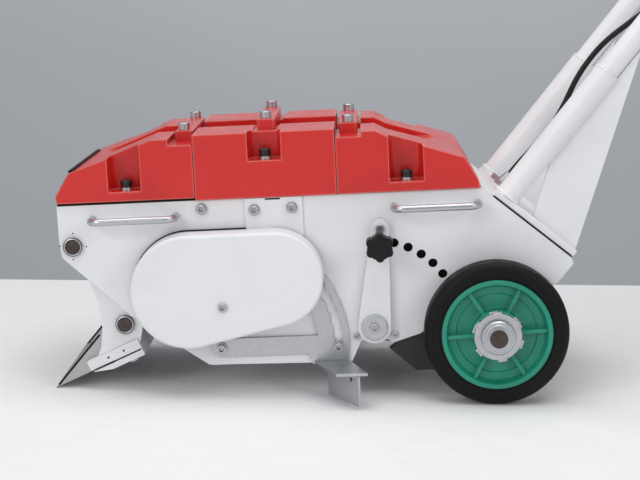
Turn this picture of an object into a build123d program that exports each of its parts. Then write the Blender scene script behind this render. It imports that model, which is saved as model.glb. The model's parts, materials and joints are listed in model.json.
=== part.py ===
from build123d import *
import math
import os

# Walk-behind floor covering stripper. The machine is drawn in its body frame: X runs to the rear
# along the body, Y to the right-hand side, Z up, with the origin on the wheel axis. At the end
# every piece is tilted on to its blade and set down on the floor.

# ------------------------------------------------------------------ overall sizes
WHEEL_D = 200.0          # tyre outside diameter
BODY_HALF = 140.0        # mid-plane to the outer face of a side plate
PLATE_T = 5.0            # side plate thickness
NOSE_X = -600.0          # front edge of the side plates
DECK_Z = 196.0           # top edge of the side plates
SLOPE_X = -12.0          # top corner of the sloped rear deck
SLOPE_LENGTH = 160.0     # length of the sloped rear deck
SLOPE_ANGLE = 40.4       # fall of the rear deck, degrees
PLATE_LOW = -41.0        # bottom edge of the side plates under the motor
PAN_X = (-398.0, -204.0) # floor pan under the motor
PAN_Z = -37.0            # its top face
HANDLE_LENGTH = 760.0    # straight part of each handle tube
SHEET = 3.0              # folded sheet metal
RUN = 0.05               # radial clearance of a running fit
SCREW_RUN = 0.3          # radial clearance of a screw in its hole
GAP = 0.4                # clearance between parts that move past each other
PROUD = 1.0              # how far a cutting tool passes the face it cuts
INNER = BODY_HALF - PLATE_T

# ------------------------------------------------------------------ screws
M6 = 6.0
M8 = 8.0
M10 = 10.0
M12 = 12.0
WASHER_T = 1.6
SPRING_WASHER_T = 2.6

# ------------------------------------------------------------------ cutting head
HEAD_PIVOT = (NOSE_X + 19.0, 139.0)
HEAD_SHAFT_D = 20.0
HEAD_TUBE_D = 34.0
ROD_PIN = (NOSE_X + 83.0, 24.0)
ROD_PIN_D = 20.0
CLIP_T = 1.7             # retaining rings
CHEEK_T = 8.0
CHEEK_OUT = INNER - 3.0  # mid-plane to the outer face of a cheek
BLADE_TIP = (NOSE_X - 24.0, -66.7)
BLADE_ANGLE = 22.5       # rise of the blade towards the rear, degrees
BLADE_T = 3.0
BLADE_HALF = CHEEK_OUT - CHEEK_T - 1.0
JAW_HALF = BODY_HALF - 4.0
JAW_LENGTH = 80.0
JAW_SETBACK = 60.0       # blade tip to the front of the jaws
JAW_GRIP = 36.0          # how far the blade reaches between the jaws
JAW_SCREW_SETBACK = 22.0 # jaw screws to the rear edge of the jaws
JAW_SCREWS = 6
UPPER_JAW_T = 14.0
LOWER_JAW_T = 8.0

# ------------------------------------------------------------------ blade drive
ECC_AXIS = (-424.0, 80.0)
ECC_SHAFT_D = 25.0
ECC_THROW = 3.0
ECC_D = 38.0
ECC_HALF = 14.0
BEARING_D = 52.0
BEARING_FLANGE = 11.0
MOTOR_AXIS = (-297.0, 89.0)
MOTOR_D = 150.0
MOTOR_LENGTH = 175.0
MOTOR_SHAFT_D = 19.0
MOTOR_PULLEY_D = 70.0
DRIVEN_PULLEY_D = 98.0
PULLEY_W = 20.0
BELT_T = 9.0
GUARD_FRONT = (-421.0, 75.0)   # centres of the guard's rounded ends
GUARD_FRONT_R = 79.0
GUARD_REAR = (-300.0, 88.0)
GUARD_REAR_R = 66.0
GUARD_BACK = BODY_HALF + 7.0   # mid-plane to the guard's open edge
GUARD_OUT = BODY_HALF + 44.0   # mid-plane to the guard's outer face
GUARD_TAB = (-339.0, -259.0)
GUARD_SCREWS = ((-326.0, 180.0), (-274.0, 181.0))
GUARD_CENTRE_SCREW = (-374.0, 53.0)
DECK_SCREW = (-399.0, 184.0)

# ------------------------------------------------------------------ wheels and carrier
CARRIER_PIVOT = (-167.0, 9.0)
CARRIER_SHAFT_D = 25.0
BUSH_D = 32.0
BUSH_SCREW_D = M6
BUSH_FLANGE_T = 7.0
CARRIER_ARM_T = 8.0
CASE_T = 13.0            # gear case
CASE_GAP = 2.0           # gear case to the side plate
CARRIER_ARM_IN = INNER - CASE_GAP - CASE_T - CARRIER_ARM_T
AXLE_D = 25.0
AXLE_BEARING_D = AXLE_D + 27.0
AXLE_TIP = 8.0           # turned end of the axle outside the collar
TYRE_IN = BODY_HALF + 8.0
TYRE_W = 44.0
TYRE_T = 24.0
DISC_T = 4.0             # driver disc
COLLAR_T = 11.0
HUB_OUT = TYRE_IN + TYRE_W + 5.0
AXLE_END = HUB_OUT + DISC_T + COLLAR_T + AXLE_TIP
INDEX_R = 119.8
INDEX_FIRST = 5.5        # rest hole, from the body's vertical, degrees
INDEX_STEP = 9.86
INDEX_HOLES = 6
STUD_D = 12.0
STUD_PARK = 12.0         # how far the knob is pulled out at rest
LEVER_T = 8.0
LEVER_IN = BODY_HALF + 4.0
LEVER_REACH = 139.6      # pivot to the screw at the lever's top

# ------------------------------------------------------------------ debris deflector
DEFLECT_PIVOT = (-382.0, -14.0)
DEFLECT_SLOT_R = 164.0
DEFLECT_SLOT_ANGLE = 32.0
DEFLECT_STOP = -1.4      # the slot bolt rests in the slot's lower end
DEFLECT_T = 4.0
DEFLECT_IN = BODY_HALF + 0.5
DEFLECT_BOLT_D = M8
DEFLECT_DROP = 28.0      # pivot to the flange along the limb's foot
WIPER_T = 3.1

# ------------------------------------------------------------------ weights
SEAL_T = 4.0
WEIGHT_HALF = BODY_HALF + 5.0
WEIGHT_Z = DECK_Z + SEAL_T
SEAT_Z = DECK_Z + 0.8    # underside of the middle and rear weights
RIDGE_IN = 42.0          # mid-plane to the inner face of a ridge
CHANNEL_Z = WEIGHT_Z + 50.0
FRONT_TOP = WEIGHT_Z + 83.0
MIDDLE_TOP = WEIGHT_Z + 87.0
REAR_TOP = WEIGHT_Z + 82.0
FRONT_WEIGHT = (NOSE_X + 2.0, -407.0)
MIDDLE_WEIGHT = (-406.0, -211.0)
REAR_WEIGHT = (-210.0, SLOPE_X - 2.0)
BAR_HALF = WEIGHT_HALF - 50.0
BAR_W = 25.0
BAR_T = 15.0
BAR_NOTCH_GAP = 5.0
CLAMP_SCREW = 34.0       # clamp screw length under its head
BAR_PLACES = ((-422.5, WEIGHT_Z + 74.0), (-307.0, WEIGHT_Z + 85.0), (-192.0, WEIGHT_Z + 75.0))
BAR_SCREW_Y = BAR_HALF - 13.0
POCKET_PLACES = ((-503.0, WEIGHT_Z + 13.0, 45.0), (-308.0, WEIGHT_Z + 48.0, 46.0),
                 (-114.0, WEIGHT_Z + 10.0, 47.0))
POCKET_DEPTH = 36.0
POCKET_SCREW_Y = WEIGHT_HALF - 19.0

# ------------------------------------------------------------------ handle
TUBE_Y = BODY_HALF - 22.0
TUBE_U = 38.6            # tube centre down the slope
TUBE_D = 30.0
SLEEVE_D = TUBE_D + 5.0
SLEEVE_TOP = 228.0
BASE_START = 20.0
BASE_GAP = 1.5
BASE_T = 10.0
BASE_HALF = BODY_HALF - 3.0
BASE_SCREW_Y = 50.0
GUSSET_T = 4.0
GUSSET_TOP = 286.0
GRIP_BEND_R = 90.0
GRIP_RUN = 130.0
GRIP_D = TUBE_D + 7.0
GRIP_TURN = 42.0
CROSSBAR_D = 25.0
CROSSBARS_N = (440.0, HANDLE_LENGTH - 70.0)
BOX_HALF = (TUBE_Y - 33.0, 60.0)
BAIL_LEAN = 16.0         # the bail's lean ahead of the tubes, degrees
BAIL_REACH = 132.0
BAIL_ARM_Y = TUBE_Y - 23.0
BAIL_ARM_T = 7.0
CABLE_D = 8.0
CABLE_Y = -40.0
GLAND_U = 34.0
GLAND_D = 17.2
LIFT_D = 10.0
LIFT_SPAN = 116.0
LIFT_OUT = 32.0
LIFT_BEND = 14.0
LIFT_PLACES = ((NOSE_X + 107.0, 176.0), (-75.5, 176.0))

WHEEL_R = WHEEL_D / 2
RIM_R = WHEEL_R - TYRE_T
BODY_PITCH = (math.degrees(math.asin(WHEEL_R / math.hypot(*BLADE_TIP)))
              - math.degrees(math.atan2(-BLADE_TIP[1], -BLADE_TIP[0])))
SLOPE_C = math.cos(math.radians(SLOPE_ANGLE))
SLOPE_S = math.sin(math.radians(SLOPE_ANGLE))
SLOPE_END = (SLOPE_X + SLOPE_LENGTH * SLOPE_C, DECK_Z - SLOPE_LENGTH * SLOPE_S)
# Handle frame: local X down the slope, local Y across, local Z out of the deck along the tubes.
HANDLE = Plane(origin=(SLOPE_X, 0, DECK_Z), x_dir=(SLOPE_C, 0, -SLOPE_S), z_dir=(SLOPE_S, 0, SLOPE_C))
# Jaw frame: origin on the blade tip, local X back along the blade, local Z out of its top face.
JAW_C = math.cos(math.radians(BLADE_ANGLE))
JAW_S = math.sin(math.radians(BLADE_ANGLE))
JAW = Plane(origin=(BLADE_TIP[0], 0, BLADE_TIP[1]), x_dir=(JAW_C, 0, JAW_S), z_dir=(-JAW_S, 0, JAW_C))

BUSH_SCREWS = tuple((CARRIER_PIVOT[0] + along, CARRIER_PIVOT[1] - 14) for along in (-26, 28))
DECK_TOP = DECK_Z - 6.0

NODES = {}
FIXINGS = []             # zinc plated screws and washers of the body and the handle


# ------------------------------------------------------------------ helpers
def slab(outline, y_from, y_to):
    """A flat outline in X and Z, made solid from one Y to another."""
    low, high = sorted((y_from, y_to))
    plane = Plane(origin=(0, high, 0), x_dir=(1, 0, 0), z_dir=(0, -1, 0))
    return extrude(plane * outline, amount=high - low, dir=(0, -1, 0))


def polygon(*points):
    return Polygon(*points, align=None)


def rod(centre, diameter, y_from, y_to):
    return slab(Pos(*centre) * Circle(diameter / 2), y_from, y_to)


def ring(centre, outer, inner, y_from, y_to):
    return slab(Pos(*centre) * (Circle(outer / 2) - Circle(inner / 2)), y_from, y_to)


def polar(centre, radius, angle):
    """A point at an angle from the horizontal rear direction, degrees upwards."""
    turn = math.radians(angle)
    return (centre[0] + radius * math.cos(turn), centre[1] + radius * math.sin(turn))


def hull(centre_a, radius_a, centre_b, radius_b):
    circles = Pos(*centre_a) * Circle(radius_a) + Pos(*centre_b) * Circle(radius_b)
    return make_hull(circles.edges())


def block(x0, x1, y0, y1, z0, z1):
    centre = Pos((x0 + x1) / 2, (y0 + y1) / 2, (z0 + z1) / 2)
    return centre * Box(abs(x1 - x0), abs(y1 - y0), abs(z1 - z0))


def other_side(shape):
    return mirror(shape, about=Plane.XZ)


def pair(shape):
    return [shape, other_side(shape)]


def group(*shapes):
    """Separate solids that share one node."""
    solids = []
    for shape in shapes:
        for item in (shape if isinstance(shape, (list, tuple)) else [shape]):
            solids.extend(item.solids())
    return Compound(solids)


def cap_screw(size, length, head_h=None):
    """Socket head screw, its head standing on Z = 0 and its shank below."""
    head_h = head_h or size
    head = Pos(0, 0, head_h / 2) * Cylinder(size * 0.8, head_h)
    head = chamfer(head.edges().sort_by(Axis.Z)[-1], size * 0.08)
    socket = extrude(Pos(0, 0, head_h * 0.4) * RegularPolygon(size * 0.46, 6), amount=head_h)
    return head - socket + Pos(0, 0, -length / 2) * Cylinder(size / 2, length)


def screw_hole(size, length):
    return Cylinder(size / 2 + SCREW_RUN, length)


def hex_screw(size, length):
    head = extrude(RegularPolygon(size * 0.94, 6), amount=size * 0.65)
    return head + Pos(0, 0, -length / 2) * Cylinder(size / 2, length)


def washer(size, outer, thick):
    return Pos(0, 0, thick / 2) * (Cylinder(outer / 2, thick) - Cylinder(size / 2 + 0.3, thick))


def facing_out(centre, y):
    """Where a fastener built along Z stands on the left-hand side, its head outwards."""
    return Pos(centre[0], -y, centre[1]) * Rot(90, 0, 0)


def floor_z(x):
    """Height of the floor in the body frame."""
    pitch = math.radians(BODY_PITCH)
    return -(WHEEL_R + x * math.sin(pitch)) / math.cos(pitch)


DEFLECT_BOLTS = (DEFLECT_PIVOT, polar(DEFLECT_PIVOT, DEFLECT_SLOT_R, DEFLECT_STOP))


# ------------------------------------------------------------------ chassis
def side_plate():
    """Left-hand side plate: the index holes are cut only in this one."""
    chin = (NOSE_X + 2, HEAD_PIVOT[1] - 15)
    foot = CARRIER_PIVOT[1] - 21
    outline = polygon(
        (NOSE_X, DECK_Z), (NOSE_X, HEAD_PIVOT[1] + 7), chin, (ROD_PIN[0] + 9, ROD_PIN[1] + 14),
        (PAN_X[0] - 3, PLATE_LOW + 3), (-256, PLATE_LOW), (PAN_X[1] + 4, PLATE_LOW), (-186, foot),
        (-148, foot), (-142, foot - 5), (-102, foot + 7), (-50, 42), (45, 42), (88, 57),
        (SLOPE_END[0] + 2, SLOPE_END[1] - 8), SLOPE_END, (SLOPE_X, DECK_Z))
    outline = fillet(outline.vertices().sort_by_distance(chin)[0], 14)
    holes = [Pos(*HEAD_PIVOT) * Circle(HEAD_SHAFT_D / 2 + RUN), Pos(*ECC_AXIS) * Circle(BEARING_D / 2),
             Pos(*CARRIER_PIVOT) * Circle(BUSH_D / 2)]
    holes += [Pos(*place) * Circle(BUSH_SCREW_D / 2 + SCREW_RUN) for place in BUSH_SCREWS]
    holes += [Pos(*place) * Circle(DEFLECT_BOLT_D / 2 + SCREW_RUN) for place in DEFLECT_BOLTS]
    return slab(outline - holes, -BODY_HALF, -INNER)


def index_holes():
    centres = [polar(CARRIER_PIVOT, INDEX_R, 90 - INDEX_FIRST - step * INDEX_STEP)
               for step in range(INDEX_HOLES)]
    return [rod(place, STUD_D + 1.0, -BODY_HALF - PROUD, -INNER + PROUD) for place in centres]


def build_chassis():
    plate = side_plate()
    motor_hole = rod(MOTOR_AXIS, 3 * MOTOR_SHAFT_D, -BODY_HALF - PROUD, -INNER + PROUD)
    NODES["left_side_plate"] = plate - motor_hole - index_holes()
    NODES["right_side_plate"] = other_side(plate)
    deck = block(NOSE_X + SHEET, SLOPE_X - 8, -INNER, INNER, DECK_TOP - SHEET, DECK_TOP)
    lip = block(NOSE_X + 20, SLOPE_X - 30, -INNER, -INNER + SHEET, DECK_TOP - 24, DECK_TOP - SHEET)
    for item in pair(lip):
        deck += item
    for x, z, _ in POCKET_PLACES:
        for side in (-1, 1):
            deck -= Pos(x, side * POCKET_SCREW_Y, DECK_TOP) * screw_hole(M10, 3 * SHEET)
    for place in GUARD_SCREWS + (DECK_SCREW,):
        deck -= rod(place, M8 + 2 * SCREW_RUN, -INNER - PROUD, -INNER + 2 * SHEET)
    NODES["top_deck"] = deck
    NODES["front_panel"] = block(NOSE_X, NOSE_X + SHEET, -INNER, INNER, HEAD_PIVOT[1] + 18, DECK_TOP)
    pan = block(*PAN_X, -INNER, INNER, PAN_Z - SHEET, PAN_Z)
    pan += block(PAN_X[1] - SHEET, PAN_X[1], -INNER, INNER, PAN_Z, PAN_Z + 27)
    NODES["floor_pan"] = pan
    rear = HANDLE * block(0, SLOPE_LENGTH, -INNER, INNER, -4, BASE_GAP)
    rear += HANDLE * block(SLOPE_LENGTH - 5, SLOPE_LENGTH, -INNER, INNER, -45, -4)
    NODES["rear_deck"] = rear
    seal_x = (NOSE_X + 1, FRONT_WEIGHT[1] - 1)
    seal_w = 6.0
    seal = block(*seal_x, -BODY_HALF, BODY_HALF, DECK_Z + 0.1, WEIGHT_Z)
    seal -= block(seal_x[0] + seal_w, seal_x[1] - seal_w, -BODY_HALF + seal_w, BODY_HALF - seal_w,
                  DECK_Z, WEIGHT_Z)
    NODES["deck_seal"] = seal
    NODES["lift_handles"] = group(*[pair(lift_handle(place)) for place in LIFT_PLACES])


def lift_handle(place):
    """Bow handle on the left-hand side plate."""
    half = LIFT_SPAN / 2
    y = -BODY_HALF
    path = FilletPolyline((-half, y, 0), (-half, y - LIFT_OUT, 0), (half, y - LIFT_OUT, 0), (half, y, 0),
                          radius=LIFT_BEND)
    start = Plane(origin=(-half, y, 0), z_dir=(0, -1, 0))
    return Pos(place[0], 0, place[1]) * sweep(start * Circle(LIFT_D / 2), path=path)


# ------------------------------------------------------------------ weights and their clamps
def weight_body(profile, bar, pocket):
    """One cast weight: two ridges with a channel between, a screw pocket each side, a bar notch."""
    body = slab(profile, -WEIGHT_HALF, WEIGHT_HALF)
    lows = profile.bounding_box().min
    highs = profile.bounding_box().max
    body -= block(lows.X - PROUD, highs.X + PROUD, -RIDGE_IN, RIDGE_IN, CHANNEL_Z, highs.Y + PROUD)
    x, z, width = pocket
    for side in (-1, 1):
        cut = block(x - width / 2, x + width / 2, side * (WEIGHT_HALF + PROUD),
                    side * (WEIGHT_HALF - POCKET_DEPTH), z, highs.Y + PROUD)
        inner = cut.edges().filter_by(Axis.Z).sort_by(lambda edge: abs(edge.center().Y))[:2]
        body -= fillet(inner, 10)
    bar_x, bar_z = bar
    notch = BAR_W / 2 + BAR_NOTCH_GAP
    body -= block(bar_x - notch, bar_x + notch, -WEIGHT_HALF - PROUD, WEIGHT_HALF + PROUD,
                  bar_z, highs.Y + BAR_T)
    thread = CLAMP_SCREW - BAR_T + 2
    for side in (-1, 1):
        body -= Pos(x, side * POCKET_SCREW_Y, (z + lows.Y) / 2) * screw_hole(M10, z - lows.Y + 2)
        body -= Pos(bar_x, side * BAR_SCREW_Y, bar_z - thread / 2) * Cylinder(M10 / 2, thread)
    return body


def build_weights():
    nose = (NOSE_X + 20, WEIGHT_Z + 42)
    brow = (NOSE_X + 69, WEIGHT_Z + 58)
    tail = (SLOPE_X - 22, WEIGHT_Z + 40)
    front = polygon((FRONT_WEIGHT[0], WEIGHT_Z), (FRONT_WEIGHT[0] - 2, WEIGHT_Z + 10), nose, brow,
                    (NOSE_X + 136, FRONT_TOP), (FRONT_WEIGHT[1], FRONT_TOP), (FRONT_WEIGHT[1], WEIGHT_Z))
    front = fillet(front.vertices().sort_by_distance(nose)[0], 6)
    middle = polygon((MIDDLE_WEIGHT[0], SEAT_Z), (MIDDLE_WEIGHT[0], MIDDLE_TOP),
                     (MIDDLE_WEIGHT[1], MIDDLE_TOP), (MIDDLE_WEIGHT[1], SEAT_Z))
    rear = polygon((REAR_WEIGHT[0], SEAT_Z), (REAR_WEIGHT[0], REAR_TOP), (SLOPE_X - 143, REAR_TOP),
                   (SLOPE_X - 126, WEIGHT_Z + 73), (SLOPE_X - 77, WEIGHT_Z + 58), tail,
                   (SLOPE_X - 4, WEIGHT_Z + 9), (REAR_WEIGHT[1], SEAT_Z))
    rear = fillet(rear.vertices().sort_by_distance(tail)[0], 6)
    for name, profile, bar, pocket in zip(("front_weight", "middle_weight", "rear_weight"),
                                          (front, middle, rear), BAR_PLACES, POCKET_PLACES):
        NODES[name] = weight_body(profile, bar, pocket)
    bars, clamp_screws, weight_screws, washers = [], [], [], []
    for x, z in BAR_PLACES:
        bar = block(x - BAR_W / 2, x + BAR_W / 2, -BAR_HALF, BAR_HALF, z, z + BAR_T)
        bar = chamfer(bar.edges().filter_by(Axis.Y) + bar.edges().filter_by(Axis.Z), 2)
        for side in (-1, 1):
            bar -= Pos(x, side * BAR_SCREW_Y, z) * screw_hole(M10, 3 * BAR_T)
            clamp_screws.append(Pos(x, side * BAR_SCREW_Y, z + BAR_T) * cap_screw(M10, CLAMP_SCREW))
        bars.append(bar)
    for x, z, _ in POCKET_PLACES:
        for side in (-1, 1):
            place = Pos(x, side * POCKET_SCREW_Y, z)
            washers.append(place * washer(M10, 2 * M10, WASHER_T))
            washers.append(place * Pos(0, 0, WASHER_T) * washer(M10, 18, SPRING_WASHER_T))
            stack = WASHER_T + SPRING_WASHER_T
            weight_screws.append(place * Pos(0, 0, stack) * cap_screw(M10, z - DECK_TOP + 12 + stack))
    NODES["clamp_bars"] = group(*bars)
    NODES["clamp_screws_and_washers"] = group(*clamp_screws, *washers)
    NODES["weight_screws"] = group(*weight_screws)
    slope = math.degrees(math.atan2(brow[1] - nose[1], brow[0] - nose[0]))
    strip = block(1, 7, 2 - WEIGHT_HALF, WEIGHT_HALF - 43, 0.1, SHEET)
    NODES["nose_strip"] = Pos(nose[0], 0, nose[1]) * Rot(0, -slope, 0) * strip


# ------------------------------------------------------------------ blade drive
def pulley(centre, diameter, bore, y_mid):
    """V-belt pulley with one groove, a hub and a web."""
    half = PULLEY_W / 2
    r = diameter / 2
    profile = Polygon((bore / 2, -half), (r, -half), (r, -7), (r - BELT_T - 1, -4), (r - BELT_T - 1, 4),
                      (r, 7), (r, half), (bore / 2, half), align=None)
    wheel = revolve(Plane.XZ * profile, axis=Axis.Z)
    return Pos(centre[0], y_mid, centre[1]) * Rot(90, 0, 0) * wheel


def build_blade_drive():
    belt_y = -(GUARD_BACK + GUARD_OUT) / 2
    NODES["motor_pulley"] = pulley(MOTOR_AXIS, MOTOR_PULLEY_D, MOTOR_SHAFT_D, belt_y)
    NODES["driven_pulley"] = pulley(ECC_AXIS, DRIVEN_PULLEY_D, ECC_SHAFT_D, belt_y)
    inset = BELT_T - GAP
    path = hull(ECC_AXIS, DRIVEN_PULLEY_D / 2, MOTOR_AXIS, MOTOR_PULLEY_D / 2)
    inside = hull(ECC_AXIS, DRIVEN_PULLEY_D / 2 - inset, MOTOR_AXIS, MOTOR_PULLEY_D / 2 - inset)
    NODES["drive_belt"] = slab(path - inside, belt_y - 3.4, belt_y + 3.4)

    build_motor()
    along = (ROD_PIN[0] - ECC_AXIS[0], ROD_PIN[1] - ECC_AXIS[1])
    share = ECC_THROW / math.hypot(*along)
    ecc_centre = (ECC_AXIS[0] + share * along[0], ECC_AXIS[1] + share * along[1])
    ecc_shaft = rod(ECC_AXIS, ECC_SHAFT_D, -GUARD_OUT + 8, INNER - 6)
    NODES["eccentric_shaft"] = ecc_shaft + rod(ecc_centre, ECC_D, -ECC_HALF, ECC_HALF)
    bore = ECC_SHAFT_D + 2 * RUN
    bearing = ring(ECC_AXIS, BEARING_D - 2 * RUN, bore, -BODY_HALF - 2, -INNER + ECC_HALF)
    bearing += ring(ECC_AXIS, BEARING_D + 2 * BEARING_FLANGE, bore, -INNER + GAP, -INNER + 8)
    NODES["shaft_bearings"] = group(pair(bearing))

    eye_wall = 9.0
    big_bore = ECC_D + 4 * ECC_THROW + 2 * GAP
    pin_bore = ROD_PIN_D + 2 * RUN
    beam = hull(ecc_centre, 13, ROD_PIN, 13)
    eyes = Pos(*ecc_centre) * Circle(big_bore / 2 + eye_wall)
    eyes += Pos(*ROD_PIN) * Circle(pin_bore / 2 + eye_wall)
    holes = Pos(*ecc_centre) * Circle(big_bore / 2) + Pos(*ROD_PIN) * Circle(pin_bore / 2)
    NODES["connecting_rod"] = slab(beam + eyes - holes, -ECC_HALF + 3, ECC_HALF - 3)


def build_motor():
    """Finned motor on its foot, a fan cover on the right-hand side, and the rotor inside."""
    back = INNER - 12
    front = back - MOTOR_LENGTH
    shell_back = back - 34
    cap_t = 10.0
    bore = MOTOR_D - 34
    outside = MOTOR_D - 16
    shaft_bore = MOTOR_SHAFT_D + 2 * RUN
    shell = ring(MOTOR_AXIS, outside, bore, front + cap_t, shell_back)
    fins = 28
    for step in range(fins):
        turn = 360 / fins * step
        if 225 < turn < 315:
            continue
        fin = block(outside / 2 - 4, MOTOR_D / 2, front + cap_t + 4, shell_back - 2, -1.5, 1.5)
        shell += Pos(MOTOR_AXIS[0], 0, MOTOR_AXIS[1]) * Rot(0, -turn, 0) * fin
    leg_y = (front + 30, shell_back - 16)
    foot_t = 6.0
    for x in (-46, 46):
        shell += block(MOTOR_AXIS[0] + x - 5, MOTOR_AXIS[0] + x + 5, *leg_y,
                       PAN_Z + foot_t, MOTOR_AXIS[1] - 42)
    shell += block(MOTOR_AXIS[0] - 70, MOTOR_AXIS[0] + 70, *leg_y, PAN_Z, PAN_Z + foot_t)
    shell -= rod(MOTOR_AXIS, bore, front, shell_back)
    shell += ring(MOTOR_AXIS, MOTOR_D - 10, shaft_bore, front, front + cap_t)
    shell += ring(MOTOR_AXIS, MOTOR_D - 18, shaft_bore, shell_back, shell_back + 6)
    wall = 2.0
    cover_d = MOTOR_D - 6
    cover = rod(MOTOR_AXIS, cover_d, shell_back, back)
    cover = fillet(cover.edges().filter_by(GeomType.CIRCLE).sort_by(Axis.Y)[-1], 8)
    cover -= rod(MOTOR_AXIS, cover_d - 2 * wall, shell_back - PROUD, back - 9)
    for step in range(8):
        cover -= rod(polar(MOTOR_AXIS, 36, 45 * step), 16, back - 10, back + PROUD)
    NODES["motor_housing"] = group(shell, cover)
    shaft = rod(MOTOR_AXIS, MOTOR_SHAFT_D, -GUARD_OUT + 8, back - 14)
    rotor = rod(MOTOR_AXIS, bore - 28, front + 30, shell_back - 20)
    fan = ring(MOTOR_AXIS, bore - 6, MOTOR_SHAFT_D - 4, shell_back + 8, shell_back + 14)
    NODES["motor_shaft"] = shaft + rotor + fan


def build_belt_guard():
    outline = hull(GUARD_FRONT, GUARD_FRONT_R, GUARD_REAR, GUARD_REAR_R)
    inner = hull(GUARD_FRONT, GUARD_FRONT_R - SHEET, GUARD_REAR, GUARD_REAR_R - SHEET)
    shell = slab(outline, -GUARD_OUT, -GUARD_BACK)
    shell = fillet(shell.faces().sort_by(Axis.Y)[0].edges(), 5)
    shell -= slab(inner, -GUARD_OUT + SHEET, -GUARD_BACK + PROUD)
    top = GUARD_FRONT[1] + GUARD_FRONT_R
    tab = block(*GUARD_TAB, -BODY_HALF - SHEET, -BODY_HALF, top - 13, DECK_Z)
    strap = block(GUARD_TAB[0] + 3, GUARD_REAR[0] - 4, -GUARD_BACK - 6, -BODY_HALF, top - SHEET - 1, top - 1)
    shell += tab + strap
    hole = M8 + 2 * SCREW_RUN
    for place in GUARD_SCREWS:
        shell -= rod(place, hole, -BODY_HALF - SHEET - PROUD, -BODY_HALF + PROUD)
    shell -= rod(GUARD_CENTRE_SCREW, hole, -GUARD_OUT - PROUD, -GUARD_OUT + 2 * SHEET)
    NODES["belt_guard"] = shell
    for place in GUARD_SCREWS + (DECK_SCREW,):
        NODES["left_side_plate"] -= rod(place, hole, -BODY_HALF - PROUD, -INNER + PROUD)
    for place, face in [(place, BODY_HALF + SHEET) for place in GUARD_SCREWS] + [(DECK_SCREW, BODY_HALF)]:
        FIXINGS.append(facing_out(place, face) * washer(M8, 2 * M8, WASHER_T))
        through = face + WASHER_T - INNER + SHEET + 2
        FIXINGS.append(facing_out(place, face + WASHER_T) * cap_screw(M8, through, 6))
    FIXINGS.append(facing_out(GUARD_CENTRE_SCREW, GUARD_OUT) * cap_screw(M8, GUARD_OUT - BODY_HALF - 8, 5))


# ------------------------------------------------------------------ cutting head
def build_head():
    px, pz = HEAD_PIVOT
    rx, rz = ROD_PIN
    cheek = polygon((px - 15, pz - 11), (px + 15, pz - 43), (rx - 35, rz + 28), (rx - 33, rz - 4),
                    (rx - 36, rz - 30), (rx - 46, rz - 55), (rx + 19, rz - 28), (rx + 25, rz - 2),
                    (rx + 17, rz + 20), (px + 21, pz + 13))
    cheek += Pos(*HEAD_PIVOT) * Circle(20) + Pos(*ROD_PIN) * Circle(22)
    cheek -= Pos(*HEAD_PIVOT) * Circle(HEAD_TUBE_D / 2) + Pos(*ROD_PIN) * Circle(ROD_PIN_D / 2)
    jaw_end = JAW_SETBACK + JAW_LENGTH
    upper = JAW * block(JAW_SETBACK, jaw_end, -JAW_HALF, JAW_HALF, BLADE_T, BLADE_T + UPPER_JAW_T)
    frame = ring(HEAD_PIVOT, HEAD_TUBE_D, HEAD_SHAFT_D + 2 * RUN, -CHEEK_OUT, CHEEK_OUT)
    for side in pair(slab(cheek, -CHEEK_OUT, -CHEEK_OUT + CHEEK_T)):
        frame += side - upper
    NODES["head_frame"] = frame
    NODES["head_pivot_shaft"] = ringed_pin(HEAD_PIVOT, HEAD_SHAFT_D, BODY_HALF)
    NODES["rod_pin"] = ringed_pin(ROD_PIN, ROD_PIN_D, CHEEK_OUT)

    heel = JAW_SETBACK + JAW_GRIP + GAP
    lower = polygon((JAW_SETBACK + 2, 0), (heel, 0), (heel, BLADE_T), (jaw_end, BLADE_T),
                    (jaw_end, -LOWER_JAW_T), (JAW_SETBACK + 30, -LOWER_JAW_T))
    lower = JAW * slab(lower, -JAW_HALF, JAW_HALF)
    blade = slab(polygon((0, 0), (5, BLADE_T), (JAW_SETBACK + JAW_GRIP, BLADE_T),
                         (JAW_SETBACK + JAW_GRIP, 0)), -BLADE_HALF, BLADE_HALF)
    wing = polygon((0, 0.2), (10, 1), (JAW_SETBACK + 16, 1), (JAW_SETBACK + 60, 38), (JAW_SETBACK + 32, 44))
    wing = slab(wing, -BLADE_HALF, -BLADE_HALF + 4)
    wing -= block(JAW_SETBACK - GAP, JAW_SETBACK + JAW_LENGTH, -JAW_HALF, JAW_HALF,
                  BLADE_T, BLADE_T + UPPER_JAW_T + GAP)
    for item in pair(wing):
        blade += item
    screws = []
    along = jaw_end - JAW_SCREW_SETBACK
    edge = 26.0
    for step in range(JAW_SCREWS):
        y = -JAW_HALF + edge + step * 2 * (JAW_HALF - edge) / (JAW_SCREWS - 1)
        hole = JAW * Pos(along, y, 0) * screw_hole(M10, 80)
        upper -= hole
        lower -= hole
        screw = cap_screw(M10, LOWER_JAW_T + BLADE_T + UPPER_JAW_T, 6)
        screws.append(JAW * Pos(along, y, -LOWER_JAW_T) * Rot(180, 0, 0) * screw)
    NODES["upper_jaw"] = upper
    NODES["lower_jaw"] = lower
    NODES["blade"] = JAW * blade
    NODES["jaw_screws"] = group(*screws)


def ringed_pin(centre, diameter, face):
    """A pin right across the machine, with a retaining ring outside each face it passes."""
    pin = rod(centre, diameter, -face - 5, face + 5)
    clip = ring(centre, diameter + 5, diameter, -face - CLIP_T, -face)
    return group(pin, pair(clip))


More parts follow.
